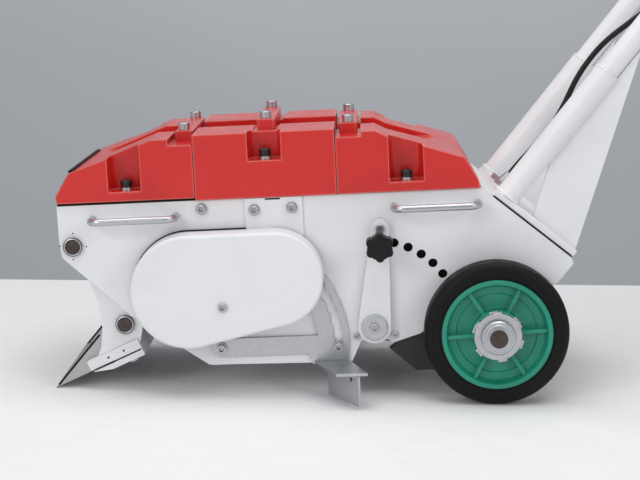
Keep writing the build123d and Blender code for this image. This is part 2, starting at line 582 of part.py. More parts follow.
# ------------------------------------------------------------------ wheel carrier
def build_carrier():
    arm_out = CARRIER_ARM_IN + CARRIER_ARM_T
    motor_at = (-88.0, -4.0)
    motor_d = 84.0
    tube_d = 44.0
    arm = hull(CARRIER_PIVOT, 26, (0, 0), AXLE_BEARING_D / 2 + 6)
    arm -= Pos(*CARRIER_PIVOT) * Circle(CARRIER_SHAFT_D / 2) + Circle(AXLE_BEARING_D / 2)
    arm -= Pos(*motor_at) * Circle(16)
    frame = slab(arm, -arm_out, -CARRIER_ARM_IN)
    frame += other_side(frame)
    frame += ring(CARRIER_PIVOT, tube_d, CARRIER_SHAFT_D, -CARRIER_ARM_IN, CARRIER_ARM_IN)
    NODES["wheel_carrier"] = frame
    NODES["carrier_shaft"] = rod(CARRIER_PIVOT, CARRIER_SHAFT_D, -LEVER_IN - LEVER_T, BODY_HALF + 4)
    bush_r = CARRIER_SHAFT_D / 2 + RUN
    flange_r = 24.0
    bush = ring(CARRIER_PIVOT, BUSH_D - 2 * RUN, 2 * bush_r, -BODY_HALF - 1, -INNER)
    flange = hull(BUSH_SCREWS[0], 8, BUSH_SCREWS[1], 8) + Pos(*CARRIER_PIVOT) * Circle(flange_r)
    flange -= Pos(*CARRIER_PIVOT) * Circle(bush_r)
    for place in BUSH_SCREWS:
        flange -= Pos(*place) * Circle(BUSH_SCREW_D / 2 + SCREW_RUN)
        FIXINGS.extend(pair(facing_out(place, BODY_HALF) * cap_screw(BUSH_SCREW_D, PLATE_T + 6, 3.5)))
    bush += slab(flange, -INNER, -INNER + BUSH_FLANGE_T)
    NODES["shaft_bearings"] = group(NODES["shaft_bearings"], pair(bush))

    motor = rod(motor_at, motor_d, -CARRIER_ARM_IN, -CARRIER_ARM_IN + 60)
    motor += rod(motor_at, motor_d - 14, -CARRIER_ARM_IN + 60, CARRIER_ARM_IN - 30)
    motor += rod(motor_at, 30, -arm_out, -CARRIER_ARM_IN)
    motor = chamfer(motor.edges().filter_by(GeomType.CIRCLE).sort_by(Axis.Y)[-1], 4)
    motor -= rod((0, 0), AXLE_D + 12, -CARRIER_ARM_IN, CARRIER_ARM_IN)
    NODES["drive_motor"] = motor
    case = polygon((-150, -24), (-110, -60), (-52, -60), (30, -34), (34, 20), (0, 36), (-60, 40), (-146, 16))
    case = slab(fillet(case.vertices(), 8), -INNER + CASE_GAP, -arm_out)
    case -= rod((0, 0), AXLE_D + 10, -INNER, -arm_out + PROUD)
    case -= rod(CARRIER_PIVOT, 2 * flange_r + 34, -INNER, -arm_out)
    NODES["gear_case"] = case
    bearing = ring((0, 0), AXLE_BEARING_D - 2 * RUN, AXLE_D + 2 * RUN, -arm_out + 0.2, -CARRIER_ARM_IN + 10)
    NODES["axle_bearings"] = group(pair(bearing))
    build_lever()


def build_lever():
    """The lever that swings the carrier, and the star knob that locks it in an index hole."""
    face = LEVER_IN + LEVER_T
    top = polar(CARRIER_PIVOT, LEVER_REACH, 90 - INDEX_FIRST)
    knob_at = polar(CARRIER_PIVOT, INDEX_R, 90 - INDEX_FIRST)
    lever = slab(hull(CARRIER_PIVOT, 23, top, 12), -LEVER_IN, -face)
    lever += ring(CARRIER_PIVOT, 44, CARRIER_SHAFT_D, -BODY_HALF - 1.5, -LEVER_IN)
    for place, size in ((knob_at, STUD_D + 2 * RUN), (CARRIER_PIVOT, CARRIER_SHAFT_D), (top, M8)):
        lever -= rod(place, size, -BODY_HALF, -face)
    NODES["index_lever"] = lever
    cap_t = 5.0
    cap = rod(CARRIER_PIVOT, CARRIER_SHAFT_D + 11, -face, -face - cap_t)
    cap = fillet(cap.edges().filter_by(GeomType.CIRCLE).sort_by(Axis.Y)[0], 1.5)
    NODES["lever_screws"] = group(cap, facing_out(CARRIER_PIVOT, face + cap_t) * cap_screw(M8, 2, 4),
                                  facing_out(top, face) * cap_screw(M8, LEVER_T, 5))
    knob_t = 20.0
    neck = 14.0
    lobes = Circle(17)
    for step in range(6):
        lobes += Rot(0, 0, 60 * step + 30) * Pos(14, 0) * Circle(6)
    knob = extrude(lobes, amount=knob_t)
    knob = fillet(knob.edges().group_by(Axis.Z)[-1], 2)
    knob += Pos(0, 0, -neck / 2) * Cylinder(11, neck)
    NODES["star_knob"] = facing_out(knob_at, face + STUD_PARK + neck) * knob
    NODES["knob_stud"] = rod(knob_at, STUD_D, -BODY_HALF - 1, -face - STUD_PARK)


def turned(profile):
    """A profile of radius and distance from the mid-plane, turned about the wheel axis."""
    return Rot(90, 0, 0) * revolve(Plane.XZ * profile, axis=Axis.Z)


def build_wheels():
    tyre_out = TYRE_IN + TYRE_W
    bore = AXLE_D / 2 + 0.1
    boss = 34.0
    web = tyre_out - 17
    rim = RIM_R - 10
    tyre = Polygon((RIM_R, TYRE_IN + 2), (WHEEL_R - 14, TYRE_IN), (WHEEL_R - 4, TYRE_IN + 4),
                   (WHEEL_R, TYRE_IN + 11), (WHEEL_R, tyre_out - 11), (WHEEL_R - 4, tyre_out - 4),
                   (WHEEL_R - 14, tyre_out), (RIM_R, tyre_out - 2), align=None)
    hub = Polygon((bore, TYRE_IN - 2), (30, TYRE_IN - 2), (30, TYRE_IN + 15), (rim, TYRE_IN + 15),
                  (rim, TYRE_IN), (RIM_R, TYRE_IN), (RIM_R, tyre_out + 1), (RIM_R - 7, tyre_out + 1),
                  (rim, tyre_out - 12), (rim - 10, web + 4), (rim - 12, web), (boss, web),
                  (boss, HUB_OUT), (bore, HUB_OUT), align=None)
    wheel_hub = turned(hub)
    for step in range(6):
        rib = block(boss - 2, RIM_R - 8, -tyre_out + 3, -tyre_out + 18, -3, 3)
        wheel_hub += Rot(0, -(5 + 60 * step), 0) * rib
    NODES["tyres"] = group(pair(turned(tyre)))
    NODES["wheel_hubs"] = group(pair(wheel_hub))
    axle = rod((0, 0), AXLE_D, -AXLE_END + AXLE_TIP, AXLE_END - AXLE_TIP)
    NODES["axle"] = axle + rod((0, 0), AXLE_D - 1, -AXLE_END, AXLE_END)
    disc_out = HUB_OUT + DISC_T
    disc = ring((0, 0), 66, AXLE_D, -HUB_OUT, -disc_out)
    for step in range(6):
        disc += Rot(0, -(39 + 60 * step), 0) * block(29, 35.5, -disc_out, -HUB_OUT, -6, 6)
        disc -= Rot(0, -(9 + 60 * step), 0) * block(28, 40, -disc_out - PROUD, -HUB_OUT + PROUD, -6, 6)
    collar = ring((0, 0), AXLE_D + 22, AXLE_D, -disc_out, -disc_out - COLLAR_T)
    collar = chamfer(collar.edges().filter_by(GeomType.CIRCLE).sort_by(Axis.Y)[:2].sort_by(
        SortBy.RADIUS)[-1], 1.5)
    NODES["wheel_locks"] = group(pair(disc), pair(collar))


# ------------------------------------------------------------------ debris deflectors
def sector(radius_in, radius_out, angle_from, angle_to):
    reach = radius_out * 1.6
    middle = (angle_from + angle_to) / 2
    wedge = polygon((0, 0), polar((0, 0), reach, angle_from), polar((0, 0), reach, middle),
                    polar((0, 0), reach, angle_to))
    return (Circle(radius_out) - Circle(radius_in)) & wedge


def build_deflectors():
    half_slot = DEFLECT_BOLT_D / 2 + 1.6
    scallop_r = half_slot + 1.8
    scallops = 6
    r_out, r_in = DEFLECT_SLOT_R + 15, DEFLECT_SLOT_R - 28
    toe = r_out * 0.985
    heel = r_out - 52
    x0, z0 = DEFLECT_PIVOT
    arm = polygon((0, 13), (r_in + 3, 13), (toe, -DEFLECT_DROP), (heel, -DEFLECT_DROP),
                  (heel - 6, -13), (0, -13))
    arm += Circle(13) + sector(r_in, r_out, -9, 37)
    slot = sector(DEFLECT_SLOT_R - half_slot, DEFLECT_SLOT_R + half_slot, DEFLECT_STOP,
                  DEFLECT_STOP + DEFLECT_SLOT_ANGLE)
    for step in range(scallops):
        angle = DEFLECT_STOP + step * DEFLECT_SLOT_ANGLE / (scallops - 1)
        slot += Pos(*polar((0, 0), DEFLECT_SLOT_R, angle)) * Circle(scallop_r)
    arm -= slot
    arm -= Circle(DEFLECT_BOLT_D / 2 + SCREW_RUN)
    solid = Pos(x0, 0, z0) * slab(arm, -DEFLECT_IN, -DEFLECT_IN - DEFLECT_T)
    bend_z = z0 - DEFLECT_DROP
    flange = polygon((x0 + heel, -DEFLECT_IN), (x0 + toe, -DEFLECT_IN),
                     (x0 + r_out + 24, -DEFLECT_IN - 82), (x0 + r_out - 19, -DEFLECT_IN - 80))
    solid += Pos(0, 0, bend_z) * extrude(flange, amount=DEFLECT_T, dir=(0, 0, 1))
    foot_x = x0 + r_out - 26
    hang = Pos(foot_x, -DEFLECT_IN - 6, 0) * Rot(0, 0, -60)
    solid += hang * block(0, 78, -SHEET, 0, bend_z - 14, bend_z + 1)
    NODES["left_deflector"] = solid
    NODES["right_deflector"] = other_side(solid)
    plate_face = -SHEET - 0.1
    plate = hang * block(-2, 84, plate_face - WIPER_T, plate_face, floor_z(foot_x) + 2.5, bend_z - 0.5)
    bolts = []
    nut_t = 5.0
    for along in (14, 64):
        place = hang * Pos(along, plate_face - WIPER_T, bend_z - 8) * Rot(90, 0, 0)
        plate -= place * screw_hole(M6, 20)
        bolts.append(place * hex_screw(M6, 14))
        nut = Pos(0, 0, plate_face - WIPER_T - 0.2 - nut_t) * extrude(RegularPolygon(5.8, 6), amount=nut_t)
        bolts.append(place * (nut - Cylinder(M6 / 2, 60)))
    NODES["left_wiper_plate"] = plate
    NODES["right_wiper_plate"] = other_side(plate)
    screws = []
    face = DEFLECT_IN + DEFLECT_T + GAP
    for place in DEFLECT_BOLTS:
        screws.append(facing_out(place, face) * washer(DEFLECT_BOLT_D, 2 * DEFLECT_BOLT_D + 1, 2))
        screws.append(facing_out(place, face + 2) * cap_screw(DEFLECT_BOLT_D, PLATE_T + 9, 7))
    NODES["deflector_bolts"] = group(*[pair(screw) for screw in screws])


# ------------------------------------------------------------------ handle
def build_handle():
    top = BASE_GAP + BASE_T
    base = block(BASE_START, SLOPE_LENGTH, -BASE_HALF, BASE_HALF, BASE_GAP, top)
    base = chamfer(base.edges().filter_by(Axis.X), 1.5)
    cable_hole = Pos(GLAND_U, CABLE_Y, 0) * Cylinder(GLAND_D / 2 + 0.4, 4 * top)
    base -= cable_hole
    rear_deck = NODES["rear_deck"] - HANDLE * cable_hole
    low_u = SLOPE_LENGTH - 24
    for u, y in ((BASE_START + 12, 0.0), (low_u, -BASE_SCREW_Y), (low_u, BASE_SCREW_Y)):
        hole = Pos(u, y, 0) * screw_hole(M12, 4 * top)
        base -= hole
        rear_deck -= HANDLE * hole
        FIXINGS.append(HANDLE * (Pos(u, y, top) * hex_screw(M12, 2 * top)))
    NODES["rear_deck"] = rear_deck

    tube = tube_with_bend(TUBE_D / 2)
    tube += Pos(TUBE_U, -TUBE_Y, (top + SLEEVE_TOP) / 2) * Cylinder(SLEEVE_D / 2, SLEEVE_TOP - top)
    NODES["handle_tubes"] = group(*[HANDLE * item for item in pair(tube)])
    reach = TUBE_U + SLEEVE_D / 2 - 1
    gusset = polygon((84.5, top), (SLOPE_LENGTH, top), (reach, GUSSET_TOP), (reach, 84))
    gusset = slab(gusset, -TUBE_Y - GUSSET_T / 2, -TUBE_Y + GUSSET_T / 2)
    gusset -= Pos(TUBE_U, -TUBE_Y, SLEEVE_TOP / 2) * Cylinder(SLEEVE_D / 2, SLEEVE_TOP)
    gusset -= Pos(TUBE_U, -TUBE_Y, GUSSET_TOP) * Cylinder(TUBE_D / 2, GUSSET_TOP)
    for item in pair(gusset):
        base += item
    NODES["handle_base"] = HANDLE * base
    bars = []
    for n in CROSSBARS_N:
        bar = Pos(TUBE_U, 0, n) * Rot(90, 0, 0) * Cylinder(CROSSBAR_D / 2, 2 * TUBE_Y)
        for side in (-1, 1):
            bar -= Pos(TUBE_U, side * TUBE_Y, n) * Cylinder(TUBE_D / 2, 80)
        bars.append(HANDLE * max(bar.solids(), key=lambda piece: piece.volume))
    NODES["handle_crossbars"] = group(*bars)
    grip = grip_sleeve(GRIP_D / 2) - grip_sleeve(TUBE_D / 2)
    NODES["handle_grips"] = group(*[HANDLE * item for item in pair(grip)])
    build_controls()


def grip_direction():
    turn = math.radians(GRIP_TURN)
    return (math.sin(turn), math.cos(turn))


def tube_end():
    """Where the bend ends and where the grip ends, down the slope and up the tube."""
    turn = math.radians(GRIP_TURN)
    du, dn = grip_direction()
    bend = (TUBE_U + GRIP_BEND_R * (1 - math.cos(turn)), HANDLE_LENGTH + GRIP_BEND_R * math.sin(turn))
    return bend, (bend[0] + GRIP_RUN * du, bend[1] + GRIP_RUN * dn)


def grip_sleeve(radius):
    """The straight run of the left-hand tube's end, at a radius of its own."""
    bend, end = tube_end()
    du, dn = grip_direction()
    line = Line((bend[0] + 8 * du, -TUBE_Y, bend[1] + 8 * dn), (end[0], -TUBE_Y, end[1]))
    return sweep(Plane(origin=line @ 0, z_dir=line % 0) * Circle(radius), path=line)


def tube_with_bend(radius):
    """Left-hand handle tube: straight up, one bend back, then the grip."""
    bend, end = tube_end()
    straight = Line((TUBE_U, -TUBE_Y, BASE_GAP + BASE_T), (TUBE_U, -TUBE_Y, HANDLE_LENGTH))
    turn = math.radians(GRIP_TURN / 2)
    middle = (TUBE_U + GRIP_BEND_R * (1 - math.cos(turn)), -TUBE_Y,
              HANDLE_LENGTH + GRIP_BEND_R * math.sin(turn))
    arc = ThreePointArc(straight @ 1, middle, (bend[0], -TUBE_Y, bend[1]))
    last = Line(arc @ 1, (end[0], -TUBE_Y, end[1]))
    start = Plane(origin=straight @ 0, z_dir=(0, 0, 1))
    return sweep(start * Circle(radius), path=Wire([straight.edge(), arc.edge(), last.edge()]))


def build_controls():
    n = CROSSBARS_N[1]
    half_y, half_n = BOX_HALF
    front = TUBE_U - 74
    back = TUBE_U - CROSSBAR_D / 2 - 2
    box = fillet(block(front, back, -half_y, half_y, n - half_n, n + half_n).edges(), 8)
    for item in pair(block(back - 1, TUBE_U, -half_y + 15, -half_y + 29, n - 10, n + 10)):
        box += item
    box -= Pos(TUBE_U, 0, n) * Rot(90, 0, 0) * Cylinder(CROSSBAR_D / 2, 3 * TUBE_Y)
    stem_r = 9.0
    button_at = Pos(front, 45, n + 18) * Rot(0, 90, 0)
    box -= button_at * Cylinder(stem_r + SCREW_RUN, 30)
    NODES["control_box"] = HANDLE * box
    mushroom = Pos(0, 0, -15) * Cylinder(17, 10) + Pos(0, 0, -3) * Cylinder(stem_r, 24)
    NODES["stop_button"] = HANDLE * button_at * mushroom
    build_bail(n)


def build_bail(n):
    """Dead man's bail: two arms that turn on the upper crossbar, and the bar between them."""
    lean = math.radians(BAIL_LEAN)
    pivot = Pos(TUBE_U, -BAIL_ARM_Y, n) * Rot(90, 0, 0)
    tip = (TUBE_U - BAIL_REACH * math.sin(lean), n + BAIL_REACH * math.cos(lean))
    arm = slab(hull((TUBE_U, n), 9, tip, 7), -BAIL_ARM_Y - BAIL_ARM_T / 2, -BAIL_ARM_Y + BAIL_ARM_T / 2)
    arm += pivot * Cylinder(CROSSBAR_D / 2 + 5, BAIL_ARM_T)
    arm -= pivot * Cylinder(CROSSBAR_D / 2 + RUN, 4 * BAIL_ARM_T)
    bail = Pos(tip[0], 0, tip[1]) * Rot(90, 0, 0) * Cylinder(6, 2 * BAIL_ARM_Y)
    for item in pair(arm):
        bail += item
    NODES["dead_man_bail"] = HANDLE * bail


def build_cable():
    top = BASE_GAP + BASE_T
    nut_t = 7.0
    gland = Pos(0, 0, top) * extrude(RegularPolygon(11, 6), amount=nut_t)
    gland += Pos(0, 0, top + nut_t) * Cone(9, 6, 16, align=(Align.CENTER, Align.CENTER, Align.MIN))
    gland += Pos(0, 0, top - 10) * Cylinder(GLAND_D / 2, 20)
    gland -= Pos(0, 0, top) * Cylinder(CABLE_D / 2, 80)
    NODES["cable_gland"] = HANDLE * Pos(GLAND_U, CABLE_Y, 0) * gland
    box_low = CROSSBARS_N[1] - BOX_HALF[1]
    route = [(GLAND_U, CABLE_Y, top - 8), (GLAND_U, CABLE_Y, 60), (40, -41, 104), (35, -38, 152),
             (22, -35, 204), (21, -35, 258), (36, -38, 318), (53, -38, 376), (58, -34, 440),
             (51, -30, 502), (30, -27, 550), (4, -26, 586), (4, -26, box_low)]
    line, radii = cable_path(route)
    across = Plane(origin=line @ 0, z_dir=line % 0)
    cable = sweep(across * Circle(CABLE_D / 2), path=line)
    print("cable radii", [round(radius, 1) for radius in radii])
    print("cable volume", round(cable.volume), "section times length",
          round(math.pi * CABLE_D ** 2 / 4 * line.length))
    NODES["control_cable"] = HANDLE * cable
    n = CROSSBARS_N[0]
    clip_u, clip_y, half = 58.0, -34.0, 9.0
    band = block(TUBE_U, clip_u, clip_y - 6, clip_y + 6, n - half, n + half)
    band += Pos(clip_u, clip_y, n) * Cylinder(CABLE_D / 2 + 5, 2 * half)
    band -= sweep(across * Circle(CABLE_D / 2 + 0.2), path=line)
    band -= Pos(TUBE_U, 0, n) * Rot(90, 0, 0) * Cylinder(CROSSBAR_D / 2, 200)
    NODES["cable_clip"] = HANDLE * band


def cable_path(route):
    """Straight runs joined by arcs, each as large as its two runs allow."""
    points = [Vector(*point) for point in route]
    radii = []
    for before, here, after in zip(points, points[1:], points[2:]):
        turn = (here - before).get_angle(after - here)
        shorter = min((here - before).length, (after - here).length)
        radii.append(0.45 * shorter / math.tan(math.radians(turn / 2)))
    return FilletPolyline(*points, radius=radii), radii


# ------------------------------------------------------------------ assembly
build_chassis()
build_weights()
build_blade_drive()
build_belt_guard()
build_head()
build_carrier()
build_wheels()
build_deflectors()
build_handle()
build_cable()
NODES["body_screws"] = group(*FIXINGS)

# The machine stands on its tyres and its blade, with the origin on the floor at the centre of its box.
STAND = Pos(0, 0, WHEEL_R) * Rot(0, -BODY_PITCH, 0)
BOX = Compound([STAND * shape for shape in NODES.values()]).bounding_box()
STAND = Pos(-(BOX.min.X + BOX.max.X) / 2, -(BOX.min.Y + BOX.max.Y) / 2, 0) * STAND
os.makedirs("parts", exist_ok=True)
for name, shape in NODES.items():
    export_step(STAND * shape, f"parts/{name}.step")
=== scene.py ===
import json
import math

import bmesh
import bpy
from mathutils import Matrix, Vector


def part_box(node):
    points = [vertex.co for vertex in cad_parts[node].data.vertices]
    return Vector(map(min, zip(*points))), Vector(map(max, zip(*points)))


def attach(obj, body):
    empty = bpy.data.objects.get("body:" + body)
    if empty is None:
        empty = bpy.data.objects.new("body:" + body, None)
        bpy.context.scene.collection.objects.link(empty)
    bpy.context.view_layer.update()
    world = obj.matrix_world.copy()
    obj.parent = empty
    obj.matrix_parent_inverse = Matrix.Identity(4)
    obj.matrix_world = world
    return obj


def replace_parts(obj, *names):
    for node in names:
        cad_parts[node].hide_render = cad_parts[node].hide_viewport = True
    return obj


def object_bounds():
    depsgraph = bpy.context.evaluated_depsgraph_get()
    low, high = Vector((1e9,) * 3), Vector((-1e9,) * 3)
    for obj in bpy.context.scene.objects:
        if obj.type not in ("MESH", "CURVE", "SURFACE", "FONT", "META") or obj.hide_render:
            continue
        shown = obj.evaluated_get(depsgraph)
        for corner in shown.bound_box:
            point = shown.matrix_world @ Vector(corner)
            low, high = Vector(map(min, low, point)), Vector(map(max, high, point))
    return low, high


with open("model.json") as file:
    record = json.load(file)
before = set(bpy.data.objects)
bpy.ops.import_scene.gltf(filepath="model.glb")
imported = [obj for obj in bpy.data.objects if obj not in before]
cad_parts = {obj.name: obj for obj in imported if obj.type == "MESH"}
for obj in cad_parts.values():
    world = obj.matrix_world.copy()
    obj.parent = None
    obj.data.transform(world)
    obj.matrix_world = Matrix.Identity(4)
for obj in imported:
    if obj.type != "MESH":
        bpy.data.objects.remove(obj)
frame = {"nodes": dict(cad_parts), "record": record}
CAD_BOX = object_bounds()
NODES = frame["nodes"]
SIDES = ((-1, "left"), (1, "right"))
FULL_TURN = 2 * math.pi

# ------------------------------------------------------------------ places read from the frame


def joint_place(name):
    joints = frame["record"]["behaviour"]["joints"]
    return Vector(next(item for item in joints if item["name"] == name)["pos_m"])


AXLE = joint_place("wheel_spin")
HEAD_PIVOT = joint_place("head_swing")
ROD_PIN = joint_place("rod_swing")
CARRIER_PIVOT = joint_place("carrier_swing")
TYRE_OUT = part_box("tyres")[1][1]
WHEEL_R = (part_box("tyres")[1][2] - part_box("tyres")[0][2]) / 2
PLATE_OUT = -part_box("left_side_plate")[0][1]

# The body frame lies along the tilted machine, its origin on the wheel axis.
HEAD_IN_BODY = (-0.581, 0.139)
SLOPE_CORNER = (-0.012, 0, 0.196)     # top corner of the sloped rear deck, in the body frame
SLOPE = math.radians(40.4)
BLADE_TIP = (-0.624, 0, -0.0667)      # in the body frame
BLADE_ANGLE = math.radians(22.5)
PITCH = (math.atan2(HEAD_IN_BODY[1], -HEAD_IN_BODY[0])
         - math.atan2(HEAD_PIVOT.z - AXLE.z, AXLE.x - HEAD_PIVOT.x))
BODY = Matrix.Translation(AXLE) @ Matrix.Rotation(-PITCH, 4, "Y")
# The handle's frame has X down the slope and Z up along the tubes.
HANDLE = BODY @ Matrix.Translation(SLOPE_CORNER) @ Matrix.Rotation(SLOPE, 4, "Y")
# The jaws' frame has X from the blade's tip up along the blade and Z off its upper face.
JAW = BODY @ Matrix.Translation(BLADE_TIP) @ Matrix.Rotation(-BLADE_ANGLE, 4, "Y")

# ------------------------------------------------------------------ camera
CAMERA_FROM_AXLE = Vector((-0.1931, -2.3360, 0.5103))
CAMERA_YAW = math.radians(-1.33)
CAMERA_TILT = math.radians(10.07)
CAMERA_ROLL = math.radians(0.30)
CAMERA_LENS = 90.6
SENSOR_WIDTH = 36


def build_camera():
    """The photo's camera, placed from the wheel axis."""
    forward = Vector((math.sin(CAMERA_YAW) * math.cos(CAMERA_TILT),
                      math.cos(CAMERA_YAW) * math.cos(CAMERA_TILT), -math.sin(CAMERA_TILT)))
    right = Vector((math.cos(CAMERA_YAW), -math.sin(CAMERA_YAW), 0))
    up = right.cross(forward)
    turn = Matrix((right, up, -forward)).transposed().to_4x4() @ Matrix.Rotation(CAMERA_ROLL, 4, "Z")
    data = bpy.data.cameras.new("camera")
    data.lens = CAMERA_LENS
    data.sensor_width = SENSOR_WIDTH
    data.clip_end = 50
    camera = bpy.data.objects.new("camera", data)
    bpy.context.collection.objects.link(camera)
    camera.matrix_world = Matrix.Translation(AXLE + CAMERA_FROM_AXLE) @ turn
    bpy.context.scene.camera = camera


# ------------------------------------------------------------------ materials
EDGE_SAMPLES = 4
SHADE_SAMPLES = 6
HIGHLIGHT_REACH = 1.2          # reach of the painted edge highlight over the rounding's radius


class Shader:
    """A material with one Principled shader and short calls for the nodes round it."""

    def __init__(self, name, colour, roughness, metallic=0.0):
        self.material = bpy.data.materials.new(name)
        self.material.use_nodes = True
        self.tree = self.material.node_tree
        self.shader = self.tree.nodes["Principled BSDF"]
        self.set("Base Color", (*colour, 1))
        self.set("Roughness", roughness)
        self.set("Metallic", metallic)
        self.place = self.tree.nodes.new("ShaderNodeTexCoord").outputs["Object"]
        self.normal = None

    def link(self, source, target):
        self.tree.links.new(source, target)

    def set(self, socket, value):
        self.shader.inputs[socket].default_value = value

    def stretch(self, x, y, z):
        node = self.tree.nodes.new("ShaderNodeMapping")
        node.inputs["Scale"].default_value = (x, y, z)
        self.link(self.place, node.inputs["Vector"])
        return node.outputs["Vector"]

    def noise(self, scale, detail=3.0, roughness=0.5, place=None):
        node = self.tree.nodes.new("ShaderNodeTexNoise")
        node.inputs["Scale"].default_value = scale
        node.inputs["Detail"].default_value = detail
        node.inputs["Roughness"].default_value = roughness
        self.link(place or self.place, node.inputs["Vector"])
        return node.outputs["Fac"]

    def cells(self, scale):
        node = self.tree.nodes.new("ShaderNodeTexVoronoi")
        node.inputs["Scale"].default_value = scale
        self.link(self.place, node.inputs["Vector"])
        return node.outputs["Color"]

    def ramp(self, source, *stops):
        node = self.tree.nodes.new("ShaderNodeValToRGB")
        ramp = node.color_ramp
        while len(ramp.elements) < len(stops):
            ramp.elements.new(0.5)
        for element, (position, value) in zip(ramp.elements, stops):
            element.position = position
            element.color = (*value, 1) if isinstance(value, tuple) else (value, value, value, 1)
        self.link(source, node.inputs["Fac"])
        return node.outputs["Color"]

    def mix(self, factor, a, b):
        node = self.tree.nodes.new("ShaderNodeMix")
        node.data_type = "RGBA"
        for socket, value in ((node.inputs[6], a), (node.inputs[7], b)):
            if isinstance(value, tuple):
                socket.default_value = (*value, 1)
            else:
                self.link(value, socket)
        self.link(factor, node.inputs[0])
        return node.outputs[2]

    def round_edges(self, radius):
        """Softens hard edges, as paint and tumbling do."""
        node = self.tree.nodes.new("ShaderNodeBevel")
        node.samples = EDGE_SAMPLES
        node.inputs["Radius"].default_value = radius
        self.normal = node.outputs["Normal"]
        self.link(self.normal, self.shader.inputs["Normal"])

    def highlight_mask(self, radius, low, high):
        """White where the surface turns sharply within the radius, black on flats; it places the painted edge
        highlight.
        """
        bevel = self.tree.nodes.new("ShaderNodeBevel")
        bevel.samples = EDGE_SAMPLES
        bevel.inputs["Radius"].default_value = radius
        flat = self.tree.nodes.new("ShaderNodeNewGeometry")
        dot = self.tree.nodes.new("ShaderNodeVectorMath")
        dot.operation = "DOT_PRODUCT"
        self.link(bevel.outputs["Normal"], dot.inputs[0])
        self.link(flat.outputs["Normal"], dot.inputs[1])
        return self.ramp(dot.outputs["Value"], (low, 1.0), (high, 0.0))

    def recess_shade_mask(self, distance, low, high):
        """White in sockets, joins and recesses closer than the distance, black on open surfaces; it places a
        painted shade.
        """
        node = self.tree.nodes.new("ShaderNodeAmbientOcclusion")
        node.samples = SHADE_SAMPLES
        node.inputs["Distance"].default_value = distance
        return self.ramp(node.outputs["AO"], (low, 1.0), (high, 0.0))

    def bump(self, source, strength, distance):
        node = self.tree.nodes.new("ShaderNodeBump")
        node.inputs["Strength"].default_value = strength
        node.inputs["Distance"].default_value = distance
        self.link(source, node.inputs["Height"])
        if self.normal:
            self.link(self.normal, node.inputs["Normal"])
        self.normal = node.outputs["Normal"]
        self.link(self.normal, self.shader.inputs["Normal"])

    def colour(self, source):
        self.link(source, self.shader.inputs["Base Color"])

    def roughness(self, source):
        self.link(source, self.shader.inputs["Roughness"])


def paint(name, colour, shade, edge_highlight, recess_shade, roughness, peel, edge=0.0012):
    """Sprayed finish: orange peel, faint dust, uneven gloss, a painted highlight that lightens the edges and
    a painted shade that darkens joins and recesses.
    """
    coat = Shader(name, colour, roughness)
    coat.round_edges(edge)
    dust = coat.ramp(coat.noise(9.0, 5.0, 0.6), (0.45, 0.0), (0.75, 1.0))
    base = coat.mix(dust, colour, shade)
    speck = coat.ramp(coat.noise(420.0, 3.0, 0.7), (0.66, 0.0), (0.72, 1.0))
    base = coat.mix(speck, base, shade)
    # Edges are painted lighter: a painted highlight for the light the rounded edges would catch.
    base = coat.mix(coat.highlight_mask(edge * HIGHLIGHT_REACH, 0.86, 0.97), base, edge_highlight)
    # Joins, sockets and recesses are painted darker by ambient occlusion: a painted shade.
    coat.colour(coat.mix(coat.recess_shade_mask(0.006, 0.12, 0.42), base, recess_shade))
    coat.roughness(coat.ramp(coat.noise(26.0, 4.0), (0.3, roughness - 0.05), (0.8, roughness + 0.08)))
    coat.bump(coat.noise(900.0, 2.0), peel, 0.00012)
    return coat


def rubber(name, dark, light, scale):
    """Matt black with faint lighter patches and a fine grain."""
    made = Shader(name, dark, 0.55)
    made.set("Specular IOR Level", 0.15)
    made.round_edges(0.0008)
    made.colour(made.mix(made.noise(scale, 6.0, 0.65), dark, light))
    made.roughness(made.ramp(made.noise(2 * scale), (0.3, 0.42), (0.8, 0.66)))
    made.bump(made.noise(1500.0, 3.0), 0.3, 0.0001)
    return made


def metal(name, dark, light, roughness, scale, bump):
    """Bare or plated metal with clouded tone and uneven polish."""
    made = Shader(name, light, roughness, 1.0)
    made.round_edges(0.0005)
    made.colour(made.mix(made.noise(scale, 5.0, 0.6), dark, light))
    low, high = roughness - 0.06, roughness + 0.12
    made.roughness(made.ramp(made.noise(2.5 * scale, 5.0), (0.3, low), (0.75, high)))
    made.bump(made.noise(12 * scale, 4.0), bump, 0.0001)
    return made


